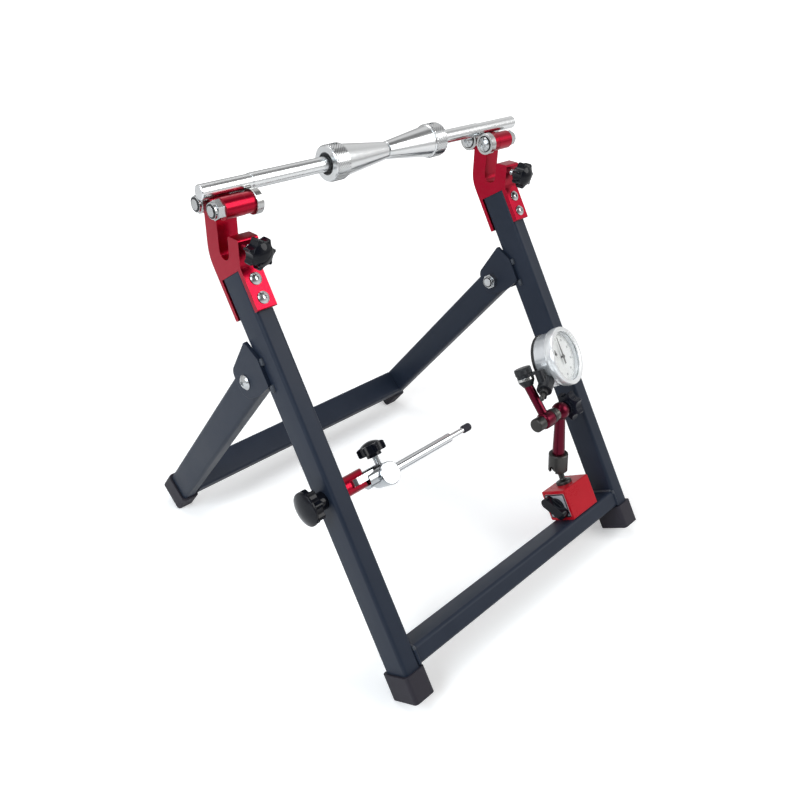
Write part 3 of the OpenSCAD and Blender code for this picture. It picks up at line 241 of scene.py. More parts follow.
def newGroup(name, takes, gives):
    tree = bpy.data.node_groups.new(name, "ShaderNodeTree")
    tree.interface.new_socket(name="Vector", in_out="INPUT", socket_type="NodeSocketVector")
    for label, start in takes.items():
        socket = tree.interface.new_socket(name=label, in_out="INPUT", socket_type="NodeSocketFloat")
        socket.default_value = start
    for label in gives:
        kind = "NodeSocketVector" if label == "Normal" else "NodeSocketFloat"
        tree.interface.new_socket(name=label, in_out="OUTPUT", socket_type=kind)
    return tree, tree.nodes.new("NodeGroupInput").outputs, tree.nodes.new("NodeGroupOutput").inputs


# lighter edges: wear, and on the frame paint also a painted highlight along the rounded tube edges
def edgeGroup():
    tree, entry, leave = newGroup("edgeWear", {"Radius": 0.0005}, ("Normal", "Wear"))
    setup = effectSetup["edge"]
    bevel = tree.nodes.new("ShaderNodeBevel")
    bevel.samples = setup["samples"]
    tree.links.new(entry["Radius"], bevel.inputs["Radius"])
    flat = tree.nodes.new("ShaderNodeNewGeometry").outputs["Normal"]
    turned = mathNode(tree, "SUBTRACT", 1.0, vectorNode(tree, "DOT_PRODUCT", bevel.outputs[0], flat))
    sharp = rangeNode(tree, turned, setup["sharp"])
    noise = noiseNode(tree, entry["Vector"], setup["patchScale"], setup["patchDetail"])
    patch = rangeNode(tree, noise, setup["patch"])
    tree.links.new(mathNode(tree, "MULTIPLY", sharp, patch), leave["Wear"])
    tree.links.new(bevel.outputs[0], leave["Normal"])
    return tree


def grainGroup():
    tree, entry, leave = newGroup("fineGrain", {"Scale": 900.0}, ("Value", "Height"))
    setup = effectSetup["grain"]
    fine = noiseNode(tree, entry["Vector"], entry["Scale"], setup["fineDetail"])
    broad = noiseNode(tree, entry["Vector"], setup["broadScale"], setup["broadDetail"])
    fineShare = mathNode(tree, "MULTIPLY", fine, setup["fineShare"])
    both = mathNode(tree, "MULTIPLY_ADD", broad, setup["broadShare"], fineShare)
    tree.links.new(rangeNode(tree, both, setup["span"]), leave["Value"])
    tree.links.new(fine, leave["Height"])
    return tree


# along, distance from and turns round the X axis
def axisParts(tree, vector):
    parts = tree.nodes.new("ShaderNodeSeparateXYZ")
    tree.links.new(vector, parts.inputs[0])
    along, across, up = parts.outputs
    turns = mathNode(tree, "DIVIDE", mathNode(tree, "ARCTAN2", up, across), 2 * math.pi)
    square = mathNode(tree, "MULTIPLY_ADD", up, up, mathNode(tree, "MULTIPLY", across, across))
    return {"along": along, "radius": mathNode(tree, "SQRT", square), "turns": turns}


def triangleWave(tree, value):
    part = mathNode(tree, "FRACT", value)
    return mathNode(tree, "ABSOLUTE", mathNode(tree, "MULTIPLY_ADD", part, 2.0, -1.0))


def turnedGroup():
    tree, entry, leave = newGroup("turnedLines", {"Lines": 2600.0}, ("Value", "Height"))
    setup = effectSetup["turned"]
    own = axisParts(tree, entry["Vector"])
    path = mathNode(tree, "MULTIPLY", mathNode(tree, "ADD", own["along"], own["radius"]), entry["Lines"])
    noise = tree.nodes.new("ShaderNodeTexNoise")
    noise.noise_dimensions = "1D"
    noise.inputs["Scale"].default_value = 1.0
    noise.inputs["Detail"].default_value = setup["detail"]
    tree.links.new(path, noise.inputs["W"])
    tree.links.new(rangeNode(tree, noise.outputs["Fac"], setup["span"]), leave["Value"])
    tree.links.new(noise.outputs["Fac"], leave["Height"])
    return tree


def knurlGroup():
    tree, entry, leave = newGroup("diamondKnurl", {"Count": 60.0, "Pitch": 0.0015}, ("Height",))
    own = axisParts(tree, entry["Vector"])
    around = mathNode(tree, "MULTIPLY", own["turns"], entry["Count"])
    steps = mathNode(tree, "DIVIDE", own["along"], entry["Pitch"])
    left = triangleWave(tree, mathNode(tree, "ADD", around, steps))
    right = triangleWave(tree, mathNode(tree, "SUBTRACT", around, steps))
    tree.links.new(mathNode(tree, "MINIMUM", left, right), leave["Height"])
    return tree


def threadGroup():
    tree, entry, leave = newGroup("screwThread", {"Pitch": 0.001}, ("Height",))
    own = axisParts(tree, entry["Vector"])
    wound = mathNode(tree, "ADD", mathNode(tree, "DIVIDE", own["along"], entry["Pitch"]), own["turns"])
    tree.links.new(triangleWave(tree, wound), leave["Height"])
    return tree


effects = {
    "edge": edgeGroup(),
    "grain": grainGroup(),
    "turned": turnedGroup(),
    "knurl": knurlGroup(),
    "thread": threadGroup(),
}
print("shared effects made")

# finishes, one for each material slot of the part
finishes = {
    "frame_paint": {
        "base": (0.0108, 0.0166, 0.0305), "second": (0.0155, 0.0224, 0.0385), "rough": (0.38, 0.50),
        "metal": 0.0, "coat": 0.0, "gloss": 0.22, "grain": 1500.0, "bump": 0.10, "edge": 0.0007,
        # lighter edge colour: paint worn at the edges and a painted highlight along the tube edges
        "worn": (0.060, 0.066, 0.080), "wear": 0.3,
    },
    "foot_rubber": {
        "base": (0.0115, 0.0098, 0.0165), "second": (0.0205, 0.0175, 0.0265), "rough": (0.55, 0.72),
        "metal": 0.0, "coat": 0.0, "gloss": 0.36, "grain": 2200.0, "bump": 0.22, "edge": 0.0008,
        "worn": (0.05, 0.05, 0.05), "wear": 0.25,
    },
    "red_anodised": {
        "base": (0.325, 0.0028, 0.0190), "second": (0.40, 0.0042, 0.0260), "rough": (0.26, 0.36),
        "metal": 0.94, "coat": 0.10, "gloss": 0.08, "grain": 2600.0, "bump": 0.06, "edge": 0.0004,
        "worn": (0.72, 0.12, 0.14), "wear": 0.4,
    },
    "zinc_steel": {
        "base": (0.46, 0.47, 0.48), "second": (0.58, 0.59, 0.59), "rough": (0.18, 0.30),
        "metal": 1.0, "coat": 0.0, "gloss": 0.5, "grain": 1800.0, "bump": 0.05, "edge": 0.0003,
        "worn": (0.86, 0.86, 0.86), "wear": 0.5,
    },
    "bearing_steel": {
        "base": (0.44, 0.44, 0.44), "second": (0.55, 0.55, 0.54), "rough": (0.14, 0.24),
        "metal": 1.0, "coat": 0.0, "gloss": 0.5, "grain": 2400.0, "bump": 0.03, "edge": 0.0003,
        "worn": (0.88, 0.88, 0.88), "wear": 0.4,
    },
    "turned_aluminium": {
        "base": (0.68, 0.69, 0.695), "second": (0.76, 0.77, 0.775), "rough": (0.16, 0.25),
        "metal": 1.0, "coat": 0.0, "gloss": 0.5, "grain": 1600.0, "bump": 0.03, "edge": 0.0003,
        "worn": (0.95, 0.95, 0.95), "wear": 0.4,
    },
    "dark_steel": {
        "base": (0.045, 0.044, 0.043), "second": (0.075, 0.073, 0.070), "rough": (0.30, 0.44),
        "metal": 0.9, "coat": 0.0, "gloss": 0.5, "grain": 1700.0, "bump": 0.06, "edge": 0.0004,
        "worn": (0.35, 0.35, 0.34), "wear": 0.5,
    },
    "knob_plastic": {
        "base": (0.0028, 0.0036, 0.0072), "second": (0.0050, 0.0058, 0.0090), "rough": (0.06, 0.12),
        "metal": 0.0, "coat": 0.0, "gloss": 0.21, "grain": 1300.0, "bump": 0.05, "edge": 0.0006,
        "worn": (0.04, 0.04, 0.044), "wear": 0.3,
    },
    "bush_nylon": {
        "base": (0.015, 0.015, 0.016), "second": (0.024, 0.024, 0.025), "rough": (0.42, 0.56),
        "metal": 0.0, "coat": 0.0, "gloss": 0.4, "grain": 1700.0, "bump": 0.10, "edge": 0.0003,
        "worn": (0.06, 0.06, 0.06), "wear": 0.3,
    },
    "chrome_plate": {
        "base": (0.62, 0.635, 0.65), "second": (0.70, 0.71, 0.72), "rough": (0.06, 0.14),
        "metal": 1.0, "coat": 0.0, "gloss": 0.5, "grain": 900.0, "bump": 0.02, "edge": 0.0003,
        "worn": (0.93, 0.93, 0.93), "wear": 0.2,
    },
    "red_paint": {
        "base": (0.41, 0.0040, 0.0135), "second": (0.50, 0.0060, 0.0180), "rough": (0.24, 0.36),
        "metal": 0.0, "coat": 0.08, "gloss": 0.14, "grain": 800.0, "bump": 0.08, "edge": 0.0006,
        "worn": (0.72, 0.09, 0.08), "wear": 0.4,
    },
    "black_finish": {
        "base": (0.0080, 0.0088, 0.0115), "second": (0.0140, 0.0150, 0.0185), "rough": (0.30, 0.42),
        "metal": 0.0, "coat": 0.0, "gloss": 0.35, "grain": 1500.0, "bump": 0.07, "edge": 0.0003,
        "worn": (0.07, 0.07, 0.07), "wear": 0.35,
    },
    "dial_white": {
        "base": (0.90, 0.91, 0.90), "second": (0.94, 0.945, 0.935), "rough": (0.38, 0.5),
        "metal": 0.0, "coat": 0.0, "gloss": 0.5, "grain": 1800.0, "bump": 0.03, "edge": 0.0002,
        "worn": (0.9, 0.9, 0.88), "wear": 0.2,
    },
}


def mixColour(tree, amount, first, second):
    node = tree.nodes.new("ShaderNodeMix")
    node.data_type = "RGBA"
    feed(tree, node.inputs[0], amount)
    # inputs 6 and 7 and output 2 are the colour sockets of this node
    for index, value in ((6, first), (7, second)):
        feed(tree, node.inputs[index], (*value, 1) if isinstance(value, tuple) else value)
    return node.outputs[2]


def useGroup(tree, effect, vector, **values):
    node = tree.nodes.new("ShaderNodeGroup")
    node.node_tree = effects[effect]
    tree.links.new(vector, node.inputs["Vector"])
    for label, value in values.items():
        node.inputs[label].default_value = value
    return node


# vector that puts a piece's own axis along X, from a point on it
def axisVector(tree, vector, centre, direction):
    shifted = vectorNode(tree, "SUBTRACT", vector, centre)
    toX = direction.rotation_difference(Vector((1, 0, 0)))
    turn = tree.nodes.new("ShaderNodeVectorRotate")
    turn.rotation_type = "EULER_XYZ"
    turn.inputs["Rotation"].default_value = toX.to_euler()
    tree.links.new(shifted, turn.inputs["Vector"])
    return turn.outputs[0]


def bandMask(tree, value, low, high):
    above = mathNode(tree, "GREATER_THAN", value, low)
    below = mathNode(tree, "LESS_THAN", value, high)
    return mathNode(tree, "MULTIPLY", above, below)


# bump in metres for a full grain, roughness of the coat, and the painted shade in the valleys of a knurl
surfaceSetup = {"bumpTall": 0.00012, "coatRough": 0.08, "valleyShare": 0.55, "valleyLevel": 0.3}


def makeFinish(name, look, axis=None, knurl=None, thread=None, turned=None, bands=()):
    mat = bpy.data.materials.new(name)
    mat.use_nodes = True
    tree = mat.node_tree
    tree.nodes.clear()
    out = tree.nodes.new("ShaderNodeOutputMaterial")
    body = tree.nodes.new("ShaderNodeBsdfPrincipled")
    tree.links.new(body.outputs[0], out.inputs["Surface"])
    spot = tree.nodes.new("ShaderNodeTexCoord").outputs["Object"]
    grain = useGroup(tree, "grain", spot, Scale=look["grain"])
    edge = useGroup(tree, "edge", spot, Radius=look["edge"])
    colour = mixColour(tree, grain.outputs["Value"], look["base"], look["second"])
    rough = rangeNode(tree, grain.outputs["Value"], (0.0, 1.0), look["rough"])
    height = mathNode(tree, "MULTIPLY", grain.outputs["Height"], look["bump"] * surfaceSetup["bumpTall"])
    own = axisVector(tree, spot, *axis) if axis else None
    measure = axisParts(tree, own) if axis else {}
    if turned:
        lines = useGroup(tree, "turned", own, Lines=turned["lines"])
        height = mathNode(tree, "MULTIPLY_ADD", lines.outputs["Height"], turned["depth"], height)
        rough = mathNode(tree, "MULTIPLY_ADD", lines.outputs["Value"], turned["rough"], rough)
    if knurl:
        cut = useGroup(tree, "knurl", own, Count=knurl["count"], Pitch=knurl["pitch"]).outputs["Height"]
        outer = mathNode(tree, "GREATER_THAN", measure["radius"], knurl["rim"])
        inside = mathNode(tree, "MULTIPLY", outer, bandMask(tree, measure["along"], *knurl["span"]))
        cutHeight = mathNode(tree, "MULTIPLY", cut, inside)
        height = mathNode(tree, "MULTIPLY_ADD", cutHeight, knurl["depth"], height)
        # painted shade: the knurl's valleys are darkened towards a share of the base colour
        valley = mathNode(tree, "MULTIPLY", mathNode(tree, "SUBTRACT", 1.0, cut), inside)
        shade = mathNode(tree, "MULTIPLY", valley, surfaceSetup["valleyShare"])
        valleyShadeColour = tuple(surfaceSetup["valleyLevel"] * part for part in look["base"])
        colour = mixColour(tree, shade, colour, valleyShadeColour)
    if thread:
        cut = useGroup(tree, "thread", own, Pitch=thread["pitch"]).outputs["Height"]
        cutHeight = mathNode(tree, "MULTIPLY", cut, bandMask(tree, measure["along"], *thread["span"]))
        height = mathNode(tree, "MULTIPLY_ADD", cutHeight, thread["depth"], height)
    metal = look["metal"]
    for band in bands:
        inside = bandMask(tree, measure[band["by"]], *band["span"])
        outside = mathNode(tree, "SUBTRACT", 1.0, inside)
        colour = mixColour(tree, inside, colour, band["colour"])
        metal = mathNode(tree, "MULTIPLY", outside, metal)
        metal = mathNode(tree, "MULTIPLY_ADD", inside, band["metal"], metal)
        rough = mathNode(tree, "MULTIPLY", outside, rough)
        rough = mathNode(tree, "MULTIPLY_ADD", inside, band["rough"], rough)
    # edge colour: wear, and for the frame paint also a painted highlight
    wear = mathNode(tree, "MULTIPLY", edge.outputs["Wear"], look["wear"])
    colour = mixColour(tree, wear, colour, look["worn"])
    bump = tree.nodes.new("ShaderNodeBump")
    bump.inputs["Strength"].default_value = 1.0
    bump.inputs["Distance"].default_value = 1.0
    tree.links.new(height, bump.inputs["Height"])
    tree.links.new(edge.outputs["Normal"], bump.inputs["Normal"])
    tree.links.new(colour, body.inputs["Base Color"])
    tree.links.new(rough, body.inputs["Roughness"])
    tree.links.new(bump.outputs[0], body.inputs["Normal"])
    feed(tree, body.inputs["Metallic"], metal)
    body.inputs["Specular IOR Level"].default_value = look["gloss"]
    body.inputs["Coat Weight"].default_value = look["coat"]
    body.inputs["Coat Roughness"].default_value = surfaceSetup["coatRough"]
    return mat


glassLook = {
    "colour": (0.98, 0.99, 0.99), "bending": 1.3, "smearScale": 90.0, "smearDetail": 3.0,
    "smear": (0.3, 0.75), "rough": (0.0, 0.05),
}


def makeGlass():
    mat = bpy.data.materials.new("dialGlass")
    mat.use_nodes = True
    tree = mat.node_tree
    body = tree.nodes["Principled BSDF"]
    body.inputs["Base Color"].default_value = (*glassLook["colour"], 1)
    body.inputs["Metallic"].default_value = 0.0
    body.inputs["Transmission Weight"].default_value = 1.0
    body.inputs["IOR"].default_value = glassLook["bending"]
    spot = tree.nodes.new("ShaderNodeTexCoord").outputs["Object"]
    smear = noiseNode(tree, spot, glassLook["smearScale"], glassLook["smearDetail"])
    rough = rangeNode(tree, smear, glassLook["smear"], glassLook["rough"])
    tree.links.new(rough, body.inputs["Roughness"])
    # light reaches the face through the glass
    path = tree.nodes.new("ShaderNodeLightPath")
    through = mathNode(tree, "MAXIMUM", path.outputs["Is Shadow Ray"], path.outputs["Is Diffuse Ray"])
    clear = tree.nodes.new("ShaderNodeBsdfTransparent")
    mixed = mixShaders(tree, through, body.outputs[0], clear.outputs[0])
    tree.links.new(mixed, tree.nodes["Material Output"].inputs["Surface"])
    return mat


plainFinish = {slot: makeFinish(slot.title().replace("_", ""), look) for slot, look in finishes.items()}
plainFinish["dial_glass"] = makeGlass()
slotOf = {}
for nodeName, node in nodes.items():
    slotOf[nodeName] = node.data.materials[0].name.split(".")[0]
    node.data.materials.clear()
    node.data.materials.append(plainFinish[slotOf[nodeName]])
print("finishes given to", len(nodes), "nodes")

# axes of the turned pieces, from the joints of the record
record = frame["record"]
jointOf = {joint["name"]: joint for joint in record["behaviour"]["joints"]}
bodyOf = {nodeName: body for body, held in record["behaviour"]["bodies"].items() for nodeName in held}


def axisOf(jointName):
    return Vector(jointOf[jointName]["pos_m"]), Vector(jointOf[jointName]["axis"])


spindleAxis = axisOf("spindle_spin")

# looks of the pieces that have lines, knurls, threads or bands of their own
spindleLook = {"turned": {"lines": 1500.0, "depth": 0.0000016, "rough": 0.05}}
coneLook = {"turned": {"lines": 1900.0, "depth": 0.0000014, "rough": 0.05}}
rollerLook = {
    "turned": {"lines": 2400.0, "depth": 0.000001, "rough": 0.05},
    "bands": [{
        "by": "radius", "span": (0.0056, 0.0072), "colour": (0.035, 0.036, 0.038),
        "metal": 0.1, "rough": 0.5,
    }],
}
screwLook = {"thread": {"pitch": 0.001, "span": (-0.05, 0.05), "depth": 0.00022}}
swivelLook = {
    "knurl": {"count": 44.0, "pitch": 0.0016, "depth": 0.00022, "span": (0.0008, 0.0055), "rim": 0.0076},
}
# the dial case is black at its back rim and on its stem
caseBlack = {"colour": (0.012, 0.012, 0.013), "metal": 0.0, "rough": 0.42}
caseLook = {
    "bands": [
        dict(caseBlack, by="along", span=(-0.05, -0.0207)),
        dict(caseBlack, by="radius", span=(0.0262, 0.2)),
    ],
}
# pieces that are lighter or darker than their slot
armRed = dict(finishes["red_anodised"], base=(0.088, 0.0040, 0.0150), second=(0.118, 0.0056, 0.0205))
satinLooks = {
    "dial_case": dict(
        finishes["chrome_plate"], base=(0.74, 0.76, 0.78), second=(0.77, 0.79, 0.81), metal=0.7,
        rough=(0.20, 0.26), grain=3200.0),
    "dial_bezel": dict(
        finishes["chrome_plate"], base=(0.83, 0.84, 0.85), second=(0.87, 0.88, 0.88), metal=0.55,
        rough=(0.20, 0.28)),
    "switch_plate": dict(
        finishes["zinc_steel"], base=(0.42, 0.42, 0.45), second=(0.55, 0.55, 0.58), metal=0.35,
        rough=(0.36, 0.5)),
    "lower_arm": armRed,
    "upper_arm": armRed,
    "joint_knob": dict(
        finishes["knob_plastic"], base=(0.0070, 0.0085, 0.0150), second=(0.0100, 0.0115, 0.0190),
        gloss=0.16, rough=(0.20, 0.30)),
    "joint_bolt": dict(
        finishes["dark_steel"], base=(0.10, 0.095, 0.085), second=(0.15, 0.145, 0.13),
        rough=(0.16, 0.26)),
    "pointer_link": dict(
        finishes["chrome_plate"], base=(0.44, 0.46, 0.48), second=(0.53, 0.55, 0.57),
        rough=(0.16, 0.26)),
    "dial_needle": dict(finishes["black_finish"], base=(0.03, 0.03, 0.032), second=(0.045, 0.045, 0.048)),
}

ownFinish = {
    "spindle": makeFinish("SpindleTurned", finishes["turned_aluminium"], spindleAxis, **spindleLook),
    "pointer_lock_screw": makeFinish(
        "LockThread", finishes["zinc_steel"], axisOf("lock_knob_turn"), **screwLook),
    "swivel_cap": makeFinish(
        "SwivelKnurl", finishes["black_finish"], axisOf("swivel_cap_turn"), **swivelLook),
    "dial_case": makeFinish("DialCase", satinLooks["dial_case"], axisOf("bezel_turn"), **caseLook),
}
for side in ("left", "right"):
    ownFinish["cone_" + side] = makeFinish(
        "Cone" + side.title(), finishes["turned_aluminium"], spindleAxis, **coneLook)
    ownFinish["clamp_" + side + "_screw"] = makeFinish(
        "ClampThread" + side.title(), finishes["zinc_steel"], axisOf("clamp_" + side + "_turn"),
        **screwLook)
    for end in ("front", "rear"):
        nodeName = "roller_" + side + "_" + end
        ownFinish[nodeName] = makeFinish(
            "Bearing" + side.title() + end.title(), finishes["bearing_steel"], axisOf(nodeName + "_spin"),
            **rollerLook)
for nodeName, look in satinLooks.items():
    if nodeName not in ownFinish:
        ownFinish[nodeName] = makeFinish("Satin" + nodeName.title().replace("_", ""), look)
print("own finishes made for", len(ownFinish), "nodes")

# smooth copies stand for the nodes, whose curved faces come in as flat facets
smoothSetup = {"mergeReach": 0.000002, "angleDegrees": 33, "asTheyAre": ("dial_glass", "dial_face")}


def selectOnly(obj):
    bpy.ops.object.select_all(action="DESELECT")
    obj.select_set(True)
    bpy.context.view_layer.objects.active = obj


def camelName(nodeName):
    first, *rest = nodeName.split("_")
    return first + "".join(word.title() for word in rest)


def smoothCopy(nodeName):
    piece = bpy.data.objects.new(camelName(nodeName) + "Smooth", nodes[nodeName].data.copy())
    scene.collection.objects.link(piece)
    selectOnly(piece)
    bpy.ops.object.mode_set(mode="EDIT")
    bpy.ops.mesh.select_all(action="SELECT")
    bpy.ops.mesh.remove_doubles(threshold=smoothSetup["mergeReach"])
    bpy.ops.object.mode_set(mode="OBJECT")
    if piece.data.has_custom_normals:
        bpy.ops.mesh.customdata_custom_splitnormals_clear()
    bpy.ops.object.shade_smooth_by_angle(angle=math.radians(smoothSetup["angleDegrees"]))
    piece.data.materials.clear()
    piece.data.materials.append(ownFinish.get(nodeName, plainFinish[slotOf[nodeName]]))
    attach(piece, bodyOf[nodeName])
    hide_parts(nodeName)


smoothNames = [nodeName for nodeName in nodes if nodeName not in smoothSetup["asTheyAre"]]
for nodeName in smoothNames:
    smoothCopy(nodeName)
print("smooth copies made:", len(smoothNames))

# tools for the added pieces; a face looks up when its normal's Z is above this
facingUp = 0.9


def startPiece(name, addShape, **sizes):
    bpy.ops.object.select_all(action="DESELECT")
    addShape(**sizes)
    piece = bpy.context.object
    piece.name = name
    piece.data.name = name
    return piece


def pick(piece, kind, test):
    selectOnly(piece)
    bpy.ops.object.mode_set(mode="EDIT")
    bpy.ops.mesh.select_mode(type=kind)
    bpy.ops.mesh.select_all(action="DESELECT")
    bpy.ops.object.mode_set(mode="OBJECT")
    if kind == "FACE":
        for face in piece.data.polygons:
            face.select = test(face.center, face.normal)
    else:
        for point in piece.data.vertices:
            point.select = test(point.co, point.normal)
    bpy.ops.object.mode_set(mode="EDIT")


def shapeAll(piece):
    selectOnly(piece)
    bpy.ops.object.mode_set(mode="EDIT")
    bpy.ops.mesh.select_all(action="SELECT")


def doneShaping():
    bpy.ops.object.mode_set(mode="OBJECT")


def useModifier(piece, kind, **settings):
    selectOnly(piece)
    tool = piece.modifiers.new(kind.lower(), kind)
    for label, value in settings.items():
        setattr(tool, label, value)
    bpy.ops.object.modifier_apply(modifier=tool.name)


def copyPiece(piece, name):
    twin = bpy.data.objects.new(name, piece.data.copy())
    scene.collection.objects.link(twin)
    twin.matrix_world = piece.matrix_world
    return twin


def joinPieces(pieces, name):
    bpy.ops.object.select_all(action="DESELECT")
    for piece in pieces:
        piece.select_set(True)
    bpy.context.view_layer.objects.active = pieces[0]
    bpy.ops.object.join()
    whole = bpy.context.object
    whole.name = name
    whole.data.name = name
    return whole


# puts a piece modelled round the origin, with its axis along Z, in its place
def setPlace(piece, centre, axis, up=None):
    zWay = Vector(axis).normalized()
    if up is None:
        turn = zWay.to_track_quat("Z", "Y").to_matrix()
    else:
        yWay = Vector(up).normalized()
        xWay = yWay.cross(zWay)
        turn = Matrix((xWay, yWay, zWay)).transposed()
    piece.matrix_world = Matrix.Translation(Vector(centre)) @ turn.to_4x4()
    selectOnly(piece)
    bpy.ops.object.transform_apply(location=True, rotation=True, scale=True)
    return piece


def finishPiece(piece, body, finish, smoothDegrees=35):
    selectOnly(piece)
    bpy.ops.object.shade_smooth_by_angle(angle=math.radians(smoothDegrees))
    piece.data.materials.clear()
    piece.data.materials.append(finish)
    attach(piece, body)


# ring with rounded edges, lying round Z from the origin up
ringBevel = {"segments": 3, "limit_method": "ANGLE", "angle_limit": math.radians(50)}


def makeRing(name, outer, inner, length, edge, sides=32):
    ring = startPiece(
        name, bpy.ops.mesh.primitive_cylinder_add, vertices=sides, radius=outer, depth=length,
        location=(0, 0, length / 2))
    bpy.ops.object.transform_apply(location=True, rotation=False, scale=False)
    pick(ring, "FACE", lambda centre, normal: abs(normal.z) > facingUp)
    bpy.ops.mesh.inset(thickness=outer - inner, use_individual=True)
    bpy.ops.mesh.bridge_edge_loops()
    bpy.ops.mesh.select_all(action="SELECT")
    bpy.ops.mesh.normals_make_consistent(inside=False)
    doneShaping()
    useModifier(ring, "BEVEL", width=edge, **ringBevel)
    return ring


# how far a node's mesh reaches along a direction
def reachOf(nodeName, direction):
    way = Vector(direction)
    spans = [point.co.dot(way) for point in nodes[nodeName].data.vertices]
    return min(spans), max(spans)


# places on the leaning front frame: across, up the leg, back from its middle, in metres
legFoot = Vector((0, -0.172753, 0.008569))
legLean = math.radians(33.2)
legUp = Vector((0, math.sin(legLean), math.cos(legLean)))
legBack = Vector((0, math.cos(legLean), -math.sin(legLean)))


def onLeg(across, up, back):
    return legFoot + Vector((across, 0, 0)) + legUp * up + legBack * back


# dark inserts of the lock nuts
insertSetup = {
    "roller": {"outer": 0.0052, "inner": 0.00405, "length": 0.0007, "sunk": 0.0003, "edge": 0.00015},
    "hinge": {"outer": 0.0051, "inner": 0.00415, "length": 0.0007, "sunk": 0.0003, "edge": 0.00015},
    "bracket": {"outer": 0.0032, "inner": 0.0026, "length": 0.0005, "sunk": 0.0002, "edge": 0.0001},
    "rollerNutEnd": 0.16675, "hingeNutEnd": 0.13155, "bracketNutEnd": 0.0212,
    "bracketScrews": (0.3445, 0.3300), "legAcross": 0.150,
}


def nutPlaces(kind):
    places = []
    for side in (-1, 1):
        if kind == "roller":
            for end in ("front", "rear"):
                centre = Vector(jointOf["roller_left_" + end + "_spin"]["pos_m"])
                centre.x = side * insertSetup["rollerNutEnd"]
                places.append((centre, (side, 0, 0)))
        elif kind == "hinge":
            centre = Vector(jointOf["rear_fold"]["pos_m"])
            centre.x = side * insertSetup["hingeNutEnd"]
            places.append((centre, (-side, 0, 0)))
        else:
            for up in insertSetup["bracketScrews"]:
                centre = onLeg(side * insertSetup["legAcross"], up, insertSetup["bracketNutEnd"])
                places.append((centre, legBack))
    return places


def makeInserts(kind):
    size = insertSetup[kind]
    first = makeRing(kind + "NutInsert", size["outer"], size["inner"], size["length"], size["edge"])
    rings = []
    for centre, way in nutPlaces(kind):
        ring = copyPiece(first, kind + "NutInsertCopy")
        setPlace(ring, centre - Vector(way) * size["sunk"], way)
        rings.append(ring)
    bpy.data.objects.remove(first)
    whole = joinPieces(rings, kind + "NutInserts")
    finishPiece(whole, "frame", plainFinish["bush_nylon"])


for kind in ("roller", "hinge", "bracket"):
    makeInserts(kind)
print("nut inserts made")

# soft black ring round the spindle, in the recess of the left cone
softRing = {
    "outer": 0.0083, "inner": 0.00615, "length": 0.0022, "edge": 0.0009, "face": -0.0540, "sunk": 0.0012,
    "sides": 48,
}


def makeSoftRing():
    ring = makeRing(
        "coneSoftRing", softRing["outer"], softRing["inner"], softRing["length"], softRing["edge"],
        softRing["sides"])
    centre = spindleAxis[0].copy()
    centre.x = softRing["face"] + softRing["sunk"]
    setPlace(ring, centre, (1, 0, 0))
    finishPiece(ring, "cone_left", plainFinish["bush_nylon"])
    print("soft ring made")


makeSoftRing()

# weld beads: length, radius and ripples of each kind, then their shape and places on the leg
beadSetup = {
    "barTop": {"length": 0.0240, "radius": 0.0017, "ripples": 9},
    "barFace": {"length": 0.0150, "radius": 0.0014, "ripples": 6},
    "barCorner": {"length": 0.0050, "radius": 0.0014, "ripples": 2},
    "plate": {"length": 0.0064, "radius": 0.0024, "ripples": 3},
    "swell": 1.16, "squeeze": 0.90, "endSqueeze": 0.45, "sides": 10, "levelReach": 0.00001,
    "smoothDegrees": 60,
    "barEnd": 0.14175, "barTopUp": 0.0398, "barLowUp": 0.0226, "barCornerUp": 0.0365, "barHalf": 0.0135,
    "spotHalf": 0.001, "plateFront": 0.0047, "plateSpots": (0.2655, 0.2870),
    "plateInner": 0.14175, "plateOuter": 0.15825,
}
weldLook = dict(
    finishes["frame_paint"], base=(0.030, 0.036, 0.048), second=(0.055, 0.062, 0.075), gloss=0.35)


def makeBead(name, size):
    bead = startPiece(
        name, bpy.ops.mesh.primitive_cylinder_add, vertices=beadSetup["sides"], radius=size["radius"],
        depth=size["length"])
    shapeAll(bead)
    rings = 2 * size["ripples"]
    for step in range(1, rings):
        level = size["length"] * (step / rings - 0.5)
        bpy.ops.mesh.select_all(action="SELECT")
        bpy.ops.mesh.bisect(plane_co=(0, 0, level), plane_no=(0, 0, 1))
    doneShaping()
    for step in range(rings + 1):
        level = size["length"] * (step / rings - 0.5)
        swell = beadSetup["swell"] if step % 2 else beadSetup["squeeze"]
        if step in (0, rings):
            swell = beadSetup["endSqueeze"]
        pick(bead, "VERT", lambda place, normal: abs(place.z - level) < beadSetup["levelReach"])
        bpy.ops.transform.resize(value=(swell, swell, 1), center_override=(0, 0, level))
        doneShaping()
    useModifier(bead, "SUBSURF", levels=1, render_levels=1)
    return bead


def layBead(kind, name, start, end):
    bead = makeBead(name, beadSetup[kind])
    middle = (Vector(start) + Vector(end)) / 2
    return setPlace(bead, middle, Vector(end) - Vector(start))


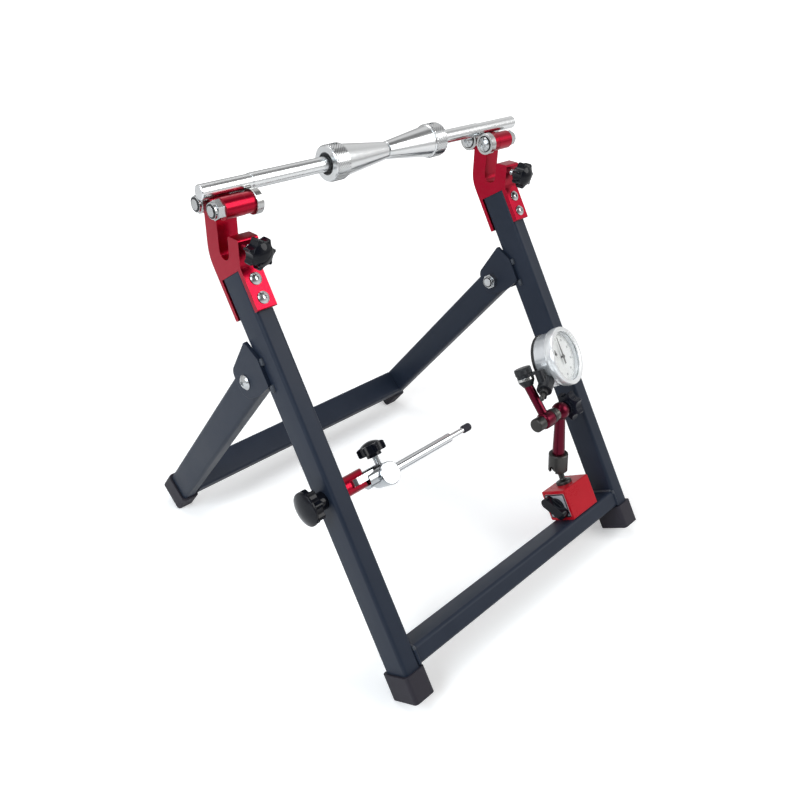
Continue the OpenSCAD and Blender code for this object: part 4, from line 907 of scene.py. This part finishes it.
def makeWelds():
    seams = []
    spots = []
    half = beadSetup["barHalf"]
    for side in (-1, 1):
        barEnd = side * beadSetup["barEnd"]
        corners = {back: onLeg(barEnd, beadSetup["barTopUp"], back) for back in (-half, half)}
        spots.append(layBead("barTop", "weldBead", *corners.values()))
        for back, top in corners.items():
            low = onLeg(barEnd, beadSetup["barLowUp"], back)
            near = onLeg(barEnd, beadSetup["barCornerUp"], back)
            seams.append(layBead("barFace", "weldSeam", low, top))
            spots.append(layBead("barCorner", "weldBead", near, top))
        for across in (beadSetup["plateInner"], beadSetup["plateOuter"]):
            for spot in beadSetup["plateSpots"]:
                low = onLeg(side * across, spot - beadSetup["spotHalf"], beadSetup["plateFront"])
                high = onLeg(side * across, spot + beadSetup["spotHalf"], beadSetup["plateFront"])
                spots.append(layBead("plate", "weldBead", low, high))
    for beads, name, finish in (
            (seams, "barSeams", plainFinish["frame_paint"]),
            (spots, "frameWelds", makeFinish("WeldPaint", weldLook))):
        finishPiece(joinPieces(beads, name), "frame", finish, beadSetup["smoothDegrees"])
    print("welds laid:", len(seams) + len(spots))


makeWelds()

# smooth domed caps of the star knobs: radius against the knob's, where the rim stands, how far it rises
starCap = {"radius": 0.72, "rimFrom": 0.80, "rimTo": 0.94, "rise": 0.26}
capSetup = {
    "pointer_knob": {
        "joint": "pointer_knob_turn", "radius": 0.99, "rimFrom": 0.78, "rimTo": 0.87, "rise": 0.17,
    },
    "clamp_left_knob": dict(starCap, joint="clamp_left_turn"),
    "clamp_right_knob": dict(starCap, joint="clamp_right_turn"),
    "pointer_lock_knob": dict(starCap, joint="lock_knob_turn", radius=0.70, rise=0.24),
    "joint_knob": dict(starCap, joint="joint_knob_turn", rise=0.24),
}
capShape = {
    "sides": 56, "steps": (0.985, 0.95, 0.88, 0.77, 0.62, 0.43, 0.20), "roundness": 2.1,
    "edgeShare": 0.03, "smoothDegrees": 40,
}
capBevel = {"segments": 2, "limit_method": "ANGLE", "angle_limit": math.radians(60)}


def makeCap(nodeName):
    size = capSetup[nodeName]
    foot, way = axisOf(size["joint"])
    low, high = reachOf(nodeName, way)
    if abs(high - foot.dot(way)) < abs(low - foot.dot(way)):
        way = -way
        low, high = -high, -low
    around = [(point.co - foot).cross(way).length for point in nodes[nodeName].data.vertices]
    radius = max(around) * size["radius"]
    tall = high - low
    rim = tall * (size["rimTo"] - size["rimFrom"])
    cap = startPiece(
        camelName(nodeName) + "Cap", bpy.ops.mesh.primitive_cylinder_add, vertices=capShape["sides"],
        radius=radius, depth=rim, location=(0, 0, -rim / 2))
    bpy.ops.object.transform_apply(location=True, rotation=False, scale=False)
    pick(cap, "FACE", lambda centre, normal: normal.z > facingUp)
    before, level = 1.0, 0.0
    for step in capShape["steps"]:
        rise = tall * size["rise"] * (1 - step ** capShape["roundness"])
        bpy.ops.mesh.extrude_region_move(TRANSFORM_OT_translate={"value": (0, 0, rise - level)})
        bpy.ops.transform.resize(value=(step / before, step / before, 1), center_override=(0, 0, rise))
        before, level = step, rise
    doneShaping()
    useModifier(cap, "BEVEL", width=radius * capShape["edgeShare"], **capBevel)
    seat = foot + way * (low + tall * size["rimTo"] - foot.dot(way))
    setPlace(cap, seat, way)
    finish = plainFinish["knob_plastic"]
    finishPiece(cap, bodyOf[nodeName], finish, capShape["smoothDegrees"])


for nodeName in capSetup:
    makeCap(nodeName)
print("knob caps made:", len(capSetup))

# cut knurl round the collars of the cones: radii, teeth round and rows along
knurlSetup = {
    "cone": {
        "valley": 0.01403, "peak": 0.01450, "sunk": 0.0139, "round": 72, "rows": 11, "length": 0.0134,
        "holeReach": 0.0027, "smoothDegrees": 5,
    },
    "left": {"middle": -0.0465, "body": "cone_left", "screw": "cone_left_screw"},
    "right": {"middle": 0.0655, "body": "cone_right", "screw": "cone_right_screw"},
}
# painted shade: the valleys between the teeth are darkened
valleyShadeLook = {
    "bands": [{
        "by": "radius", "span": (0.010, 0.01416), "colour": (0.16, 0.165, 0.17),
        "metal": 0.9, "rough": 0.4,
    }],
}
knurlFinish = makeFinish("CollarKnurl", finishes["turned_aluminium"], spindleAxis, **valleyShadeLook)


def makeKnurl(side):
    size = knurlSetup["cone"]
    own = knurlSetup[side]
    sleeve = startPiece(
        "coneKnurl" + side.title(), bpy.ops.mesh.primitive_cylinder_add, vertices=size["round"],
        radius=size["valley"], depth=size["length"], end_fill_type="NOTHING")
    shapeAll(sleeve)
    rowTall = size["length"] / size["rows"]
    for row in range(1, size["rows"]):
        bpy.ops.mesh.select_all(action="SELECT")
        bpy.ops.mesh.bisect(plane_co=(0, 0, row * rowTall - size["length"] / 2), plane_no=(0, 0, 1))
    doneShaping()

    def isTooth(place, normal):
        row = round((place.z + size["length"] / 2) / rowTall)
        step = round((math.atan2(place.y, place.x) / (2 * math.pi)) * size["round"])
        return 0 < row < size["rows"] and (row + step) % 2 == 0

    pick(sleeve, "VERT", isTooth)
    grow = size["peak"] / size["valley"]
    bpy.ops.transform.resize(value=(grow, grow, 1), center_override=(0, 0, 0))
    doneShaping()
    pick(sleeve, "VERT", lambda place, normal: abs(place.z) > size["length"] / 2 - rowTall / 4)
    shrink = size["sunk"] / size["valley"]
    bpy.ops.transform.resize(value=(shrink, shrink, 1), center_override=(0, 0, 0))
    doneShaping()
    centre = spindleAxis[0].copy()
    centre.x = own["middle"]
    setPlace(sleeve, centre, (1, 0, 0))
    low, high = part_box(own["screw"])
    hole = (Vector(low) + Vector(high)) / 2
    out = hole - spindleAxis[0]
    out.x = 0
    out.normalize()

    def overHole(place, normal):
        gap = place - hole
        return gap.dot(out) > 0 and (gap - out * gap.dot(out)).length < size["holeReach"]

    pick(sleeve, "FACE", overHole)
    bpy.ops.mesh.delete(type="FACE")
    doneShaping()
    finishPiece(sleeve, own["body"], knurlFinish, size["smoothDegrees"])


for side in ("left", "right"):
    makeKnurl(side)
print("collar knurls cut")

# marks on the dial's face: radii and widths in metres, figures at every tenth mark
dialSetup = {
    "marks": 100, "outer": 0.0226, "short": 0.0016, "long": 0.0030, "width": 0.00022, "thick": 0.00007,
    "figureAt": 0.0172, "figureTall": 0.0030, "smallMarks": 10, "smallOuter": 0.0046, "smallLong": 0.0009,
    "smallCentre": (-0.009, 0.005), "longEvery": 5, "figureEvery": 10, "boldness": 1.5,
    "topShare": (0.75, 0.95, 1), "figureSteps": 3, "smoothDegrees": 20,
}
inkLook = dict(finishes["black_finish"], base=(0.16, 0.165, 0.17), second=(0.21, 0.215, 0.22))


# middle of the face's front, and the way it looks
def dialSeat():
    foot, out = axisOf("bezel_turn")
    front = reachOf("dial_face", out)[1]
    return foot + out * (front - foot.dot(out)), out


def makeMark(name, width, length, outer, turn, centre=(0, 0)):
    thick = dialSetup["thick"]
    middle = outer - length / 2
    mark = startPiece(name, bpy.ops.mesh.primitive_cube_add, size=1, location=(0, middle, thick / 2))
    mark.scale = (width, length, thick)
    bpy.ops.object.transform_apply(location=True, rotation=False, scale=True)
    pick(mark, "FACE", lambda place, normal: normal.z > facingUp)
    bpy.ops.transform.resize(value=dialSetup["topShare"], center_override=(0, middle, thick))
    doneShaping()
    mark.rotation_euler = (0, 0, turn)
    mark.location = (centre[0], centre[1], 0)
    bpy.ops.object.transform_apply(location=True, rotation=True, scale=True)
    return mark


def makeFigure(text, turn):
    bpy.ops.object.select_all(action="DESELECT")
    bpy.ops.object.text_add(location=(0, 0, 0))
    figure = bpy.context.object
    figure.data.body = text
    figure.data.size = dialSetup["figureTall"]
    figure.data.align_x = "CENTER"
    figure.data.align_y = "CENTER"
    figure.data.extrude = dialSetup["thick"] / 2
    figure.data.resolution_u = dialSetup["figureSteps"]
    bpy.ops.object.convert(target="MESH")
    figure = bpy.context.object
    radius = dialSetup["figureAt"]
    figure.location = (-radius * math.sin(turn), radius * math.cos(turn), dialSetup["thick"] / 2)
    bpy.ops.object.transform_apply(location=True, rotation=True, scale=True)
    return figure


def makeDialMarks():
    pieces = []
    whole = dialSetup["marks"]
    for step in range(whole):
        turn = -2 * math.pi * step / whole
        length = dialSetup["short"] if step % dialSetup["longEvery"] else dialSetup["long"]
        bold = step % dialSetup["figureEvery"] == 0
        width = dialSetup["width"] * (dialSetup["boldness"] if bold else 1)
        pieces.append(makeMark("dialMark", width, length, dialSetup["outer"], turn))
        if bold:
            pieces.append(makeFigure(str(step), turn))
    for step in range(dialSetup["smallMarks"]):
        turn = -2 * math.pi * step / dialSetup["smallMarks"]
        pieces.append(makeMark(
            "dialMark", dialSetup["width"], dialSetup["smallLong"], dialSetup["smallOuter"], turn,
            dialSetup["smallCentre"]))
    marks = joinPieces(pieces, "dialMarks")
    centre, out = dialSeat()
    setPlace(marks, centre, out, legUp)
    ink = makeFinish("DialInk", inkLook)
    finishPiece(marks, "dial_holder", ink, dialSetup["smoothDegrees"])
    print("dial marks drawn:", len(pieces))


makeDialMarks()

# dark border of the switch plate
borderSetup = {
    "outer": 0.0120, "width": 0.0013, "corner": 0.0014, "cornerSteps": 4, "thick": 0.00008,
    "edge": 0.00002,
}
borderBevel = {"segments": 1, "limit_method": "ANGLE", "angle_limit": math.radians(50)}


def makeSwitchBorder():
    border = startPiece("switchBorder", bpy.ops.mesh.primitive_plane_add, size=2 * borderSetup["outer"])
    shapeAll(border)
    bpy.ops.mesh.bevel(
        offset=borderSetup["corner"], segments=borderSetup["cornerSteps"], affect="VERTICES")
    bpy.ops.mesh.select_all(action="SELECT")
    bpy.ops.mesh.inset(thickness=borderSetup["width"])
    bpy.ops.mesh.delete(type="FACE")
    doneShaping()
    useModifier(border, "SOLIDIFY", thickness=borderSetup["thick"], offset=1.0)
    useModifier(border, "BEVEL", width=borderSetup["edge"], **borderBevel)
    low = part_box("switch_plate")[0]
    centre = Vector(jointOf["switch_turn"]["pos_m"])
    centre.x = low[0]
    setPlace(border, centre, (-1, 0, 0), legUp)
    finishPiece(border, "gauge_base", plainFinish["black_finish"])
    print("switch border made")


makeSwitchBorder()
